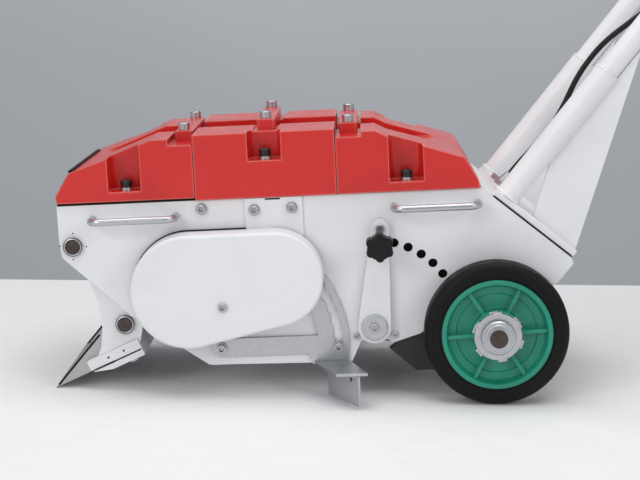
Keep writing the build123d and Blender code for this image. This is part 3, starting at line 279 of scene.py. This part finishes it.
def build_materials():
    """One material for each slot of the record."""
    made = {}
    # In each paint call the fourth colour is the painted highlight on edges and the fifth the painted shade
    # in joins and recesses.
    made["white_paint"] = paint("white_powder_coat", (0.80, 0.805, 0.82), (0.74, 0.74, 0.75),
                                (0.86, 0.86, 0.86), (0.10, 0.10, 0.11), 0.38, 0.22)
    red = paint("red_enamel", (0.62, 0.014, 0.010), (0.53, 0.010, 0.008), (0.90, 0.26, 0.20),
                (0.10, 0.004, 0.004), 0.36, 0.45, 0.0028)
    red.bump(red.noise(150.0, 5.0, 0.6), 0.22, 0.0005)
    red.set("Coat Weight", 0.25)
    red.set("Coat Roughness", 0.2)
    made["red_paint"] = red
    made["green_paint"] = paint("green_enamel", (0.014, 0.27, 0.175), (0.01, 0.21, 0.14),
                                (0.05, 0.42, 0.29), (0.003, 0.04, 0.028), 0.40, 0.35)
    made["black_paint"] = paint("black_paint", (0.011, 0.011, 0.012), (0.019, 0.018, 0.018),
                                (0.05, 0.05, 0.05), (0.004, 0.004, 0.004), 0.42, 0.3)
    made["motor_paint"] = paint("motor_grey", (0.16, 0.18, 0.2), (0.12, 0.13, 0.14),
                                (0.3, 0.32, 0.34), (0.03, 0.03, 0.035), 0.4, 0.4)
    made["tyre_rubber"] = rubber("tyre_rubber", (0.004, 0.004, 0.005), (0.011, 0.011, 0.011), 30.0)
    made["black_rubber"] = rubber("black_rubber", (0.005, 0.005, 0.005), (0.012, 0.012, 0.012), 45.0)
    zinc = metal("zinc_plate", (0.48, 0.49, 0.51), (0.60, 0.605, 0.62), 0.33, 55.0, 0.15)
    spangle = zinc.mix(zinc.ramp(zinc.cells(420.0), (0.2, 0.0), (0.9, 0.5)),
                       (0.50, 0.51, 0.535), (0.60, 0.605, 0.62))
    # The zinc's sockets and recesses are painted near black: a painted shade.
    zinc.colour(zinc.mix(zinc.recess_shade_mask(0.004, 0.25, 0.6), spangle, (0.035, 0.035, 0.04)))
    made["zinc"] = zinc
    made["dark_steel"] = metal("dark_steel", (0.045, 0.037, 0.034), (0.14, 0.115, 0.105), 0.42, 130.0, 0.3)
    made["cast_iron"] = metal("cast_iron", (0.08, 0.08, 0.08), (0.16, 0.16, 0.16), 0.5, 60.0, 0.4)
    blade = metal("blade_steel", (0.40, 0.40, 0.395), (0.56, 0.56, 0.55), 0.45, 40.0, 0.1)
    grain = blade.noise(60.0, 5.0, 0.6, blade.stretch(14.0, 1.0, 14.0))
    blade.colour(blade.mix(grain, (0.40, 0.40, 0.395), (0.60, 0.60, 0.59)))
    blade.bump(grain, 0.25, 0.0001)
    made["blade_steel"] = blade
    plastic = Shader("black_plastic", (0.008, 0.008, 0.009), 0.42)
    plastic.set("Specular IOR Level", 0.22)
    plastic.round_edges(0.0008)
    plastic.bump(plastic.noise(1100.0, 2.0), 0.4, 0.0001)
    plastic.colour(plastic.mix(plastic.noise(50.0, 4.0), (0.005, 0.005, 0.006), (0.012, 0.012, 0.013)))
    plastic.roughness(plastic.ramp(plastic.noise(70.0), (0.3, 0.34), (0.8, 0.5)))
    made["black_plastic"] = plastic
    jacket = Shader("cable_jacket", (0.006, 0.006, 0.007), 0.4)
    jacket.set("Specular IOR Level", 0.3)
    jacket.colour(jacket.mix(jacket.noise(90.0, 4.0), (0.004, 0.004, 0.005), (0.010, 0.010, 0.011)))
    jacket.bump(jacket.noise(400.0, 2.0), 0.2, 0.0001)
    made["cable_jacket"] = jacket
    stop = Shader("red_plastic", (0.55, 0.01, 0.01), 0.28)
    stop.colour(stop.mix(stop.noise(80.0, 3.0), (0.52, 0.009, 0.009), (0.62, 0.015, 0.012)))
    stop.bump(stop.noise(300.0, 2.0), 0.1, 0.0001)
    made["red_plastic"] = stop
    return {slot: shader.material for slot, shader in made.items()}


def dress_nodes():
    """Every CAD node gets the material of its slot."""
    slot_of = {item["node"]: item["material_slot"] for item in frame["record"]["subparts"]}
    for name, node in NODES.items():
        node.data.materials.clear()
        node.data.materials.append(MATERIALS[slot_of[name]])


# ------------------------------------------------------------------ mesh tools
def add_piece(name, sheet, body, slot, sharp=35):
    """Turns a bmesh into a piece that rides on a body and wears a slot's material."""
    bmesh.ops.remove_doubles(sheet, verts=sheet.verts, dist=1e-6)
    bmesh.ops.recalc_face_normals(sheet, faces=sheet.faces)
    mesh = bpy.data.meshes.new(name)
    sheet.to_mesh(mesh)
    sheet.free()
    mesh.shade_smooth()
    mesh.set_sharp_from_angle(angle=math.radians(sharp))
    mesh.materials.append(MATERIALS[slot])
    piece = bpy.data.objects.new(name, mesh)
    bpy.context.collection.objects.link(piece)
    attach(piece, body)
    return piece


def turn_profile(sheet, profile, place, segments=128, closed=True):
    """Turns an outline of (radius, along) about the local Z axis of a place.

    An outline that isn't closed starts and ends on the axis.
    """
    rings = []
    for step in range(segments):
        angle = FULL_TURN * step / segments
        ring = [sheet.verts.new(place @ Vector((radius * math.cos(angle), radius * math.sin(angle), along)))
                for radius, along in profile]
        rings.append(ring)
    count = len(profile)
    for step in range(segments):
        here, there = rings[step], rings[(step + 1) % segments]
        for index in range(count if closed else count - 1):
            following = (index + 1) % count
            corners = [here[index], here[following], there[following], there[index]]
            unique = [vert for position, vert in enumerate(corners)
                      if all((vert.co - other.co).length > 1e-7 for other in corners[:position])]
            if len(unique) > 2:
                sheet.faces.new(unique)


def arc(centre, radius, start, end, steps=6):
    """Points of an arc in an outline, angles in degrees."""
    return [(centre[0] + radius * math.cos(math.radians(start + (end - start) * step / steps)),
             centre[1] + radius * math.sin(math.radians(start + (end - start) * step / steps)))
            for step in range(steps + 1)]


def rounded_block(sheet, low, high, place, radius, segments=3):
    """A block with every edge rounded."""
    made = bmesh.ops.create_cube(sheet, size=1.0)["verts"]
    size = Vector(high) - Vector(low)
    middle = (Vector(high) + Vector(low)) / 2
    for vert in made:
        vert.co = Vector(vert.co[axis] * size[axis] for axis in range(3)) + middle
    edges = list({edge for vert in made for edge in vert.link_edges})
    bevel = bmesh.ops.bevel(sheet, geom=edges, offset=radius, segments=segments, profile=0.5, affect="EDGES")
    touched = {vert for vert in made if vert.is_valid} | set(bevel["verts"])
    for vert in touched:
        vert.co = place @ vert.co


def side_axis(point, side):
    """Local Z points out of the machine's side, at a point."""
    return Matrix.Translation(point) @ Matrix.Rotation(-side * math.pi / 2, 4, "X")


# ------------------------------------------------------------------ wheels
TYRE_W = 0.044
RIM_R = 0.076
BOSS_R = 0.034
HUB_OUT = 0.005          # boss face outside the tyre's side
HUB_RIBS = 6
FIRST_RIB = 5            # degrees
DISC_T = 0.004           # driver disc
COLLAR_T = 0.011
LUG_ANGLES = (32, 92, 152)


def tyre_outline():
    """Outline of the tyre, measured out from its mid-plane."""
    half = TYRE_W / 2
    crown = WHEEL_R - 0.0006
    outline = [(RIM_R + 0.0002, -half + 0.002), (RIM_R + 0.004, -half + 0.0012)]
    outline += arc((WHEEL_R - 0.011, -half + 0.0105), 0.0102, -125, -8, 10)
    outline += [(crown, -half + 0.0125), (WHEEL_R - 0.0001, 0), (crown, half - 0.0125)]
    outline += arc((WHEEL_R - 0.011, half - 0.0105), 0.0102, 8, 92, 8)
    outline += [(WHEEL_R - 0.0125, half - 0.0009), (WHEEL_R - 0.0135, half - 0.0003)]
    outline += [(RIM_R + 0.009, half - 0.0003), (RIM_R + 0.008, half - 0.0010)]
    outline += [(RIM_R + 0.004, half - 0.0012)]
    outline += [(RIM_R + 0.003, half - 0.0022), (RIM_R + 0.0002, half - 0.0024)]
    return outline


def hub_outline():
    """Outline of the green hub, measured out from the tyre's mid-plane."""
    half = TYRE_W / 2
    web = half - 0.0165
    lip = half + 0.0008
    outline = [(0.0127, -half - 0.002), (0.030, -half - 0.002), (0.030, -half + 0.015)]
    outline += [(0.066, -half + 0.015), (0.066, -half), (RIM_R, -half)]
    outline += arc((RIM_R - 0.0016, lip - 0.0016), 0.0016, 0, 90, 4)
    outline += arc((RIM_R - 0.0052, lip - 0.0016), 0.0016, 90, 170, 4)
    outline += [(RIM_R - 0.0080, half - 0.006), (RIM_R - 0.0095, half - 0.0098)]
    outline += arc((RIM_R - 0.0125, half - 0.0098), 0.003, 0, -80, 4)
    outline += [(0.0575, web + 0.0035), (0.0560, web + 0.0030), (0.0545, web + 0.0008)]
    outline += arc((BOSS_R + 0.004, web + 0.004), 0.004, -90, -180, 4)
    outline += [(BOSS_R, half + HUB_OUT - 0.001), (BOSS_R - 0.001, half + HUB_OUT), (0.0127, half + HUB_OUT)]
    return outline


def build_wheels():
    """Crowned tyres and ribbed hubs in place of the plain ones, with their axle ends."""
    middle = TYRE_OUT - TYRE_W / 2
    for side, word in SIDES:
        place = side_axis(AXLE + Vector((0, side * middle, 0)), side)
        sheet = bmesh.new()
        turn_profile(sheet, tyre_outline(), place, 160)
        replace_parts(add_piece(f"{word}_tyre", sheet, "wheels", "tyre_rubber", 30), "tyres")
        sheet = bmesh.new()
        turn_profile(sheet, hub_outline(), place, 144)
        for step in range(HUB_RIBS):
            turn = Matrix.Rotation(math.radians(FIRST_RIB + 360 // HUB_RIBS * step), 4, "Z")
            rounded_block(sheet, (BOSS_R - 0.003, -0.0027, -0.002), (RIM_R - 0.0075, 0.0027, 0.0185),
                          place @ turn, 0.0012)
        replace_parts(add_piece(f"{word}_hub", sheet, "wheels", "green_paint", 30), "wheel_hubs")
        build_axle_end(place, word)


def build_axle_end(place, word):
    """Collar's stepped face, the axle's retaining ring and the driver disc with its lugs."""
    face = TYRE_W / 2 + HUB_OUT + DISC_T + COLLAR_T
    sheet = bmesh.new()
    turn_profile(sheet, [(0.0126, face - 0.001), (0.0195, face - 0.001), (0.0195, face + 0.0008),
                         (0.0186, face + 0.0016), (0.0126, face + 0.0016)], place, 72)
    add_piece(f"{word}_collar_step", sheet, "wheels", "zinc")
    sheet = bmesh.new()
    turn_profile(sheet, [(0.0118, face + 0.0022), (0.0152, face + 0.0022), (0.0152, face + 0.0036),
                         (0.0118, face + 0.0036)], place, 72)
    add_piece(f"{word}_axle_ring", sheet, "wheels", "zinc")
    sheet = bmesh.new()
    low = TYRE_W / 2 + HUB_OUT + DISC_T + 0.0001
    turn_profile(sheet, [(0.0196, low), (0.0322, low), (0.0330, low + 0.0006), (0.0322, low + 0.0022),
                         (0.0196, low + 0.0022)], place, 96)
    for angle in LUG_ANGLES:
        turn = place @ Matrix.Rotation(math.radians(angle), 4, "Z")
        rounded_block(sheet, (0.0318, -0.0055, low - 0.0036), (0.0348, 0.0055, low + 0.0010), turn, 0.0006, 2)
    add_piece(f"{word}_driver_lugs", sheet, "wheels", "zinc")


# ------------------------------------------------------------------ body details
# Places and sizes in the body frame.
MARK_REACH = 0.0185                   # pivot centre to a punch mark
GUARD_FRONT = (-0.421, 0.075)
GUARD_FRONT_R = 0.079
GUARD_TAB_X = -0.3395
GUARD_TAB_T = 0.003
GUARD_GAP = 0.007                     # side plate to the guard's open edge
# Insets and end of the black strip of painted shade in the gap behind the guard.
GUARD_SHADE_INSETS = (0.0030, -0.0014)
GUARD_SHADE_END = 205                        # degrees round the guard's front
SLOT_X = (-0.3105, -0.2895)
SLOT_Z = (0.1930, 0.1952)
INDEX_R = 0.1198
INDEX_ARC = (-6.0, 62.0)              # from the body's vertical, degrees
# Half width and depth of the black sheet of painted shade behind the index holes.
HOLE_SHADE_HALF = 0.013
HOLE_SHADE_Y = (-0.1268, -0.1260)
# Places and sizes in the handle's frame, then in the jaws' frame.
GASKET_U = (0.0205, 0.1590)
GASKET_T = 0.0014
# Run and height of the strip of painted shade between the jaws.
JAW_SHADE_RUN = (0.0940, 0.1385)
JAW_SHADE_Z = (0.0005, 0.0026)
END_SCREWS = (0.091, 0.115)
END_SCREW_Z = 0.010
UPTURN = (0.092, 0.044)               # run and rise of the blade's upturned ends
STRIP_INSET = 0.002                   # blade's end to the middle of a strip
STRIP_RUN = (0.006, 0.101)


def build_pin_rims():
    """Bright retaining rims round the ends of the two head pins, with thin black rings just outside them as a
    painted shade.
    """
    pins = (("head_pivot_shaft", HEAD_PIVOT, "chassis"), ("rod_pin", ROD_PIN, "blade_head"))
    for node, centre, body in pins:
        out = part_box(node)[1][1]
        for side, word in SIDES:
            place = side_axis(Vector((centre.x, side * out, centre.z)), side)
            radius = (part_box(node)[1][2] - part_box(node)[0][2]) / 2
            sheet = bmesh.new()
            rim = [(radius - 0.0019, -0.0004), (radius - 0.0019, 0.0005), (radius - 0.0012, 0.0009),
                   (radius - 0.0002, 0.0005), (radius - 0.0002, -0.0004)]
            turn_profile(sheet, rim, place, 72)
            add_piece(f"{word}_{node}_rim", sheet, body, "zinc")
            sheet = bmesh.new()
            # Thin black ring round each pin end: painted shade.
            groove_shade = [(radius, -0.0004), (radius, 0.0002), (radius + 0.0008, 0.0002),
                      (radius + 0.0008, -0.0004)]
            turn_profile(sheet, groove_shade, place, 72)
            add_piece(f"{word}_{node}_groove", sheet, body, "black_rubber")


def build_setting_marks():
    """Four small punch marks round each end of the head pivot."""
    for side, word in SIDES:
        place = side_axis(Vector((HEAD_PIVOT.x, side * PLATE_OUT, HEAD_PIVOT.z)), side)
        sheet = bmesh.new()
        for step in range(4):
            dot = place @ Matrix.Rotation(math.radians(90 * step), 4, "Z")
            dot = dot @ Matrix.Translation((MARK_REACH, 0, 0))
            turn_profile(sheet, [(0.0, 0.0), (0.0011, 0.0), (0.0009, 0.0003), (0.0, 0.0004)], dot, 12, False)
        add_piece(f"{word}_setting_marks", sheet, "chassis", "dark_steel")


def sheet_strip(sheet, inner, outer, low, high):
    """A strip between two paths of (x, z) in the body frame, from y low to y high."""
    rows = []
    for (x_in, z_in), (x_out, z_out) in zip(inner, outer):
        rows.append([sheet.verts.new(BODY @ Vector((x, y, z)))
                     for x, y, z in ((x_in, low, z_in), (x_out, low, z_out),
                                     (x_out, high, z_out), (x_in, high, z_in))])
    for here, there in zip(rows, rows[1:]):
        for corner in range(4):
            after = (corner + 1) % 4
            sheet.faces.new((here[corner], here[after], there[after], there[corner]))
    sheet.faces.new(rows[0])
    sheet.faces.new(rows[-1])


def build_guard_gap_shade():
    """Black strip in the gap behind the guard's front and top, a painted shade for the shadow in that gap."""
    paths = []
    for inset in GUARD_SHADE_INSETS:
        radius = GUARD_FRONT_R - inset
        path = [(GUARD_TAB_X, GUARD_FRONT[1] + radius)] + arc(GUARD_FRONT, radius, 90, GUARD_SHADE_END, 40)
        paths.append(path)
    sheet = bmesh.new()
    sheet_strip(sheet, *paths, -PLATE_OUT - GUARD_GAP, -PLATE_OUT - 0.0001)
    add_piece("guard_gap_shade", sheet, "chassis", "black_rubber")


def build_index_hole_shade():
    """Black sheet behind the arc of index holes, a painted shade that darkens the holes."""
    centre = BODY.inverted() @ CARRIER_PIVOT
    paths = [arc((centre.x, centre.z), INDEX_R + reach, 90 - INDEX_ARC[0], 90 - INDEX_ARC[1], 24)
             for reach in (-HOLE_SHADE_HALF, HOLE_SHADE_HALF)]
    sheet = bmesh.new()
    sheet_strip(sheet, *paths, *HOLE_SHADE_Y)
    add_piece("index_hole_shade", sheet, "chassis", "black_rubber")


def build_base_gasket():
    """Dark sealing strips between the side plates' sloped edges and the handle base."""
    sheet = bmesh.new()
    for side in (-1, 1):
        low, high = sorted((side * (PLATE_OUT - 0.0036), side * (PLATE_OUT - 0.0004)))
        rounded_block(sheet, (GASKET_U[0], low, 0.0001), (GASKET_U[1], high, GASKET_T), HANDLE, 0.0002, 1)
    add_piece("base_gasket", sheet, "chassis", "black_rubber")


def build_tab_slot_shade():
    """Black block in the slot at the top of the guard's tab, a painted shade for the slot's dark opening."""
    sheet = bmesh.new()
    face = PLATE_OUT + GUARD_TAB_T
    low = (SLOT_X[0], -face - 0.0003, SLOT_Z[0])
    high = (SLOT_X[1], -face + 0.0006, SLOT_Z[1])
    rounded_block(sheet, low, high, BODY, 0.0003, 1)
    add_piece("tab_slot_shade", sheet, "chassis", "black_rubber")


def build_jaw_ends():
    """Black strip of painted shade in the dark gap between the jaws' ends, and two small screws in each end
    of the upper jaw.
    """
    end = (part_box("upper_jaw")[1][1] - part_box("upper_jaw")[0][1]) / 2
    for side, word in SIDES:
        low, high = sorted((side * (end - 0.001), side * (end + 0.0002)))
        sheet = bmesh.new()
        rounded_block(sheet, (JAW_SHADE_RUN[0], low, JAW_SHADE_Z[0]), (JAW_SHADE_RUN[1], high, JAW_SHADE_Z[1]), JAW, 0.0002, 1)
        add_piece(f"{word}_jaw_gap_shade", sheet, "blade_head", "black_rubber")
        sheet = bmesh.new()
        for along in END_SCREWS:
            place = JAW @ side_axis(Vector((along, side * end, END_SCREW_Z)), side)
            turn_profile(sheet, [(0.0, -0.0002), (0.0017, -0.0002), (0.0016, 0.0003), (0.0, 0.0002)],
                         place, 16, False)
        add_piece(f"{word}_jaw_end_screws", sheet, "blade_head", "dark_steel")


def build_edge_strips():
    """Black strips on the front edges of the blade's two upturned ends."""
    slope = math.atan2(UPTURN[1], UPTURN[0])
    half = (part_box("blade")[1][1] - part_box("blade")[0][1]) / 2
    for side, word in SIDES:
        middle = side * (half - STRIP_INSET)
        place = JAW @ Matrix.Translation((0.0, middle, 0.0)) @ Matrix.Rotation(-slope, 4, "Y")
        sheet = bmesh.new()
        low = (STRIP_RUN[0], -0.0026, -0.0022)
        high = (STRIP_RUN[1], 0.0026, 0.0006)
        rounded_block(sheet, low, high, place, 0.0006, 2)
        add_piece(f"{word}_dark_edge_strip", sheet, "blade_head", "black_rubber")


# ------------------------------------------------------------------ handle details
BEAD_STEP = 0.0016       # spacing of the rings of points along a weld
BEAD_CORNERS = 8


def weld_ring(sheet, place, radius, size):
    """A weld bead round a bar, with the ripple of the pool."""
    around = max(24, int(FULL_TURN * radius / BEAD_STEP))
    rings = []
    for step in range(around):
        angle = FULL_TURN * step / around
        swell = size * (1 + 0.14 * math.sin(5 * angle * radius / 0.004) + 0.06 * math.sin(13 * angle))
        ring = []
        for turn in range(BEAD_CORNERS):
            bend = FULL_TURN * turn / BEAD_CORNERS
            reach = radius + swell * math.cos(bend)
            ring.append(sheet.verts.new(place @ Vector((reach * math.cos(angle), reach * math.sin(angle),
                                                        swell * math.sin(bend)))))
        rings.append(ring)
    for step in range(around):
        here, there = rings[step], rings[(step + 1) % around]
        for turn in range(BEAD_CORNERS):
            after = (turn + 1) % BEAD_CORNERS
            sheet.faces.new((here[turn], here[after], there[after], there[turn]))


def weld_line(sheet, start, end, size):
    """A straight fillet weld between two points."""
    start, end = Vector(start), Vector(end)
    run = (end - start).length
    steps = max(8, int(run / BEAD_STEP))
    turn = (end - start).to_track_quat("Z", "Y").to_matrix().to_4x4()
    rings = []
    for step in range(steps + 1):
        along = run * step / steps
        swell = size * (1 + 0.15 * math.sin(FULL_TURN * along / 0.0045) + 0.05 * math.sin(along / 0.0011))
        if step in (0, steps):
            swell *= 0.3
        place = Matrix.Translation(start) @ turn @ Matrix.Translation((0, 0, along))
        bends = [FULL_TURN * corner / BEAD_CORNERS for corner in range(BEAD_CORNERS)]
        rings.append([sheet.verts.new(place @ Vector((swell * math.cos(bend), swell * math.sin(bend), 0)))
                      for bend in bends])
    for here, there in zip(rings, rings[1:]):
        for corner in range(BEAD_CORNERS):
            after = (corner + 1) % BEAD_CORNERS
            sheet.faces.new((here[corner], here[after], there[after], there[corner]))
    sheet.faces.new(rings[0])
    sheet.faces.new(rings[-1])


# Sizes in the handle's frame.
TUBE_U = 0.0386
TUBE_Y = 0.118
TUBE_R = 0.015
SLEEVE_R = 0.0175
SLEEVE_TOP = 0.228
BASE_TOP = 0.0115
GUSSET_REACH = 0.160
GUSSET_WELDS = (0.086, 0.088)         # where the welds along the base and up the tube start
CROSSBARS = (0.440, 0.690)
HANDLE_LENGTH = 0.760
GRIP_TURN = math.radians(42)
GRIP_BEND_R = 0.090
GRIP_RUN = 0.130
GRIP_R = 0.0185
GRIP_START = 0.0082
GRIP_RIBS = 15


def build_handle_welds():
    """Welds at the tubes' feet, the sleeves' tops, the gussets and the crossbars."""
    sheet = bmesh.new()
    for side in (-1, 1):
        tube = HANDLE @ Matrix.Translation((TUBE_U, side * TUBE_Y, 0))
        weld_ring(sheet, tube @ Matrix.Translation((0, 0, BASE_TOP + 0.001)), SLEEVE_R + 0.001, 0.0026)
        weld_ring(sheet, tube @ Matrix.Translation((0, 0, SLEEVE_TOP + 0.0004)), TUBE_R + 0.0012, 0.0019)
        for offset in (-0.0028, 0.0028):
            y = side * TUBE_Y + offset
            weld_line(sheet, HANDLE @ Vector((GUSSET_WELDS[0], y, BASE_TOP + 0.0004)),
                      HANDLE @ Vector((GUSSET_REACH - 0.002, y, BASE_TOP + 0.0004)), 0.0021)
            weld_line(sheet, HANDLE @ Vector((TUBE_U + SLEEVE_R, y, GUSSET_WELDS[1])),
                      HANDLE @ Vector((TUBE_U + SLEEVE_R, y, SLEEVE_TOP - 0.003)), 0.0019)
    for along in CROSSBARS:
        for side in (-1, 1):
            end = HANDLE @ Matrix.Translation((TUBE_U, side * (TUBE_Y - TUBE_R - 0.0002), along))
            weld_ring(sheet, end @ Matrix.Rotation(math.pi / 2, 4, "X"), 0.0128, 0.0019)
    add_piece("handle_welds", sheet, "chassis", "white_paint", 60)


def build_grips():
    """Ribbed rubber grips with an inner collar and a rounded, closed end."""
    end_of_bend = Vector((TUBE_U + GRIP_BEND_R * (1 - math.cos(GRIP_TURN)), 0,
                          HANDLE_LENGTH + GRIP_BEND_R * math.sin(GRIP_TURN)))
    start = GRIP_START
    pitch = (GRIP_RUN - start - 0.022) / GRIP_RIBS
    for side, word in SIDES:
        place = HANDLE @ Matrix.Translation(end_of_bend + Vector((0, side * TUBE_Y, 0)))
        place = place @ Matrix.Rotation(GRIP_TURN, 4, "Y")
        outline = [(TUBE_R + 0.0002, start), (GRIP_R - 0.0008, start), (GRIP_R, start + 0.001),
                   (GRIP_R, start + 0.006), (GRIP_R - 0.0012, start + 0.008)]
        for step in range(GRIP_RIBS):
            low = start + 0.009 + step * pitch
            outline += [(GRIP_R - 0.0016, low), (GRIP_R - 0.0004, low + pitch * 0.25),
                        (GRIP_R - 0.0002, low + pitch * 0.5), (GRIP_R - 0.0004, low + pitch * 0.72)]
        outline += arc((GRIP_R - 0.004, GRIP_RUN - 0.004), 0.0039, 0, 90, 5)
        outline += [(0.004, GRIP_RUN - 0.0001), (0.0, GRIP_RUN - 0.0001), (0.0, GRIP_RUN - 0.002),
                    (TUBE_R + 0.0002, GRIP_RUN - 0.002)]
        sheet = bmesh.new()
        turn_profile(sheet, outline, place, 64)
        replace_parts(add_piece(f"{word}_grip", sheet, "chassis", "black_rubber", 30), "handle_grips")


# ------------------------------------------------------------------ floor, backdrop and light
FLOOR_BACK = 0.42        # part's far side to the floor's back edge
BACKDROP_GAP = 5.2       # floor's back edge to the backdrop
STAGE_HALF = 8


def build_stage():
    """A cloth floor whose back edge is the horizon, and a grey backdrop far behind it."""
    depth = CAD_BOX[1][1] + FLOOR_BACK
    sheet = bmesh.new()
    bmesh.ops.create_grid(sheet, x_segments=1, y_segments=1, size=1.0)
    for vert in sheet.verts:
        vert.co = Vector((vert.co.x * 6, -5 if vert.co.y < 0 else depth, -0.0002))
    mesh = bpy.data.meshes.new("floor")
    sheet.to_mesh(mesh)
    sheet.free()
    floor = bpy.data.objects.new("floor", mesh)
    cloth = Shader("floor_cloth", (0.86, 0.86, 0.855), 0.9)
    cloth.colour(cloth.mix(cloth.noise(3.0, 4.0), (0.83, 0.835, 0.84), (0.89, 0.885, 0.88)))
    cloth.bump(cloth.noise(5.0, 5.0, 0.6), 0.45, 0.02)
    mesh.materials.append(cloth.material)
    sheet = bmesh.new()
    far = depth + BACKDROP_GAP
    corners = [(-STAGE_HALF, far, -3), (STAGE_HALF, far, -3), (STAGE_HALF, far, 6), (-STAGE_HALF, far, 6)]
    sheet.faces.new([sheet.verts.new(corner) for corner in corners])
    mesh = bpy.data.meshes.new("backdrop")
    sheet.to_mesh(mesh)
    sheet.free()
    wall = bpy.data.objects.new("backdrop", mesh)
    paper = Shader("backdrop_paper", (0.62, 0.64, 0.655), 0.95)
    paper.colour(paper.mix(paper.noise(0.6, 3.0), (0.58, 0.60, 0.62), (0.68, 0.695, 0.71)))
    mesh.materials.append(paper.material)
    for item in (floor, wall):
        bpy.context.collection.objects.link(item)


def area_light(name, place, target, size, power):
    data = bpy.data.lights.new(name, "AREA")
    data.shape = "RECTANGLE"
    data.size, data.size_y = size
    data.energy = power
    lamp = bpy.data.objects.new(name, data)
    lamp.location = place
    lamp.rotation_euler = (Vector(target) - Vector(place)).to_track_quat("-Z", "Y").to_euler()
    bpy.context.collection.objects.link(lamp)


def build_light():
    """A large lamp above, two in front, a wash on the backdrop and a faint cool sky."""
    middle = (Vector(CAD_BOX[0]) + Vector(CAD_BOX[1])) / 2
    area_light("overhead", middle + Vector((-0.2, -0.3, 2.3)), middle, (3.0, 2.2), 48)
    area_light("front_left", middle + Vector((-2.2, -2.8, 1.2)), middle, (1.6, 1.6), 30)
    area_light("front_right", middle + Vector((2.2, -2.4, 1.1)), middle, (1.4, 1.4), 16)
    wall = middle + Vector((0, 6.6, 0.2))
    area_light("backdrop_wash", middle + Vector((0, 5.0, 1.8)), wall, (4.0, 0.8), 24)
    world = bpy.data.worlds.new("studio")
    world.use_nodes = True
    background = world.node_tree.nodes["Background"]
    background.inputs["Color"].default_value = (0.94, 0.96, 1.0, 1)
    background.inputs["Strength"].default_value = 0.42
    bpy.context.scene.world = world
    bpy.context.scene.view_settings.view_transform = "Standard"


build_camera()
MATERIALS = build_materials()
dress_nodes()
build_wheels()
build_pin_rims()
build_setting_marks()
build_base_gasket()
build_tab_slot_shade()
build_guard_gap_shade()
build_index_hole_shade()
build_edge_strips()
build_jaw_ends()
build_handle_welds()
build_grips()
build_stage()
build_light()
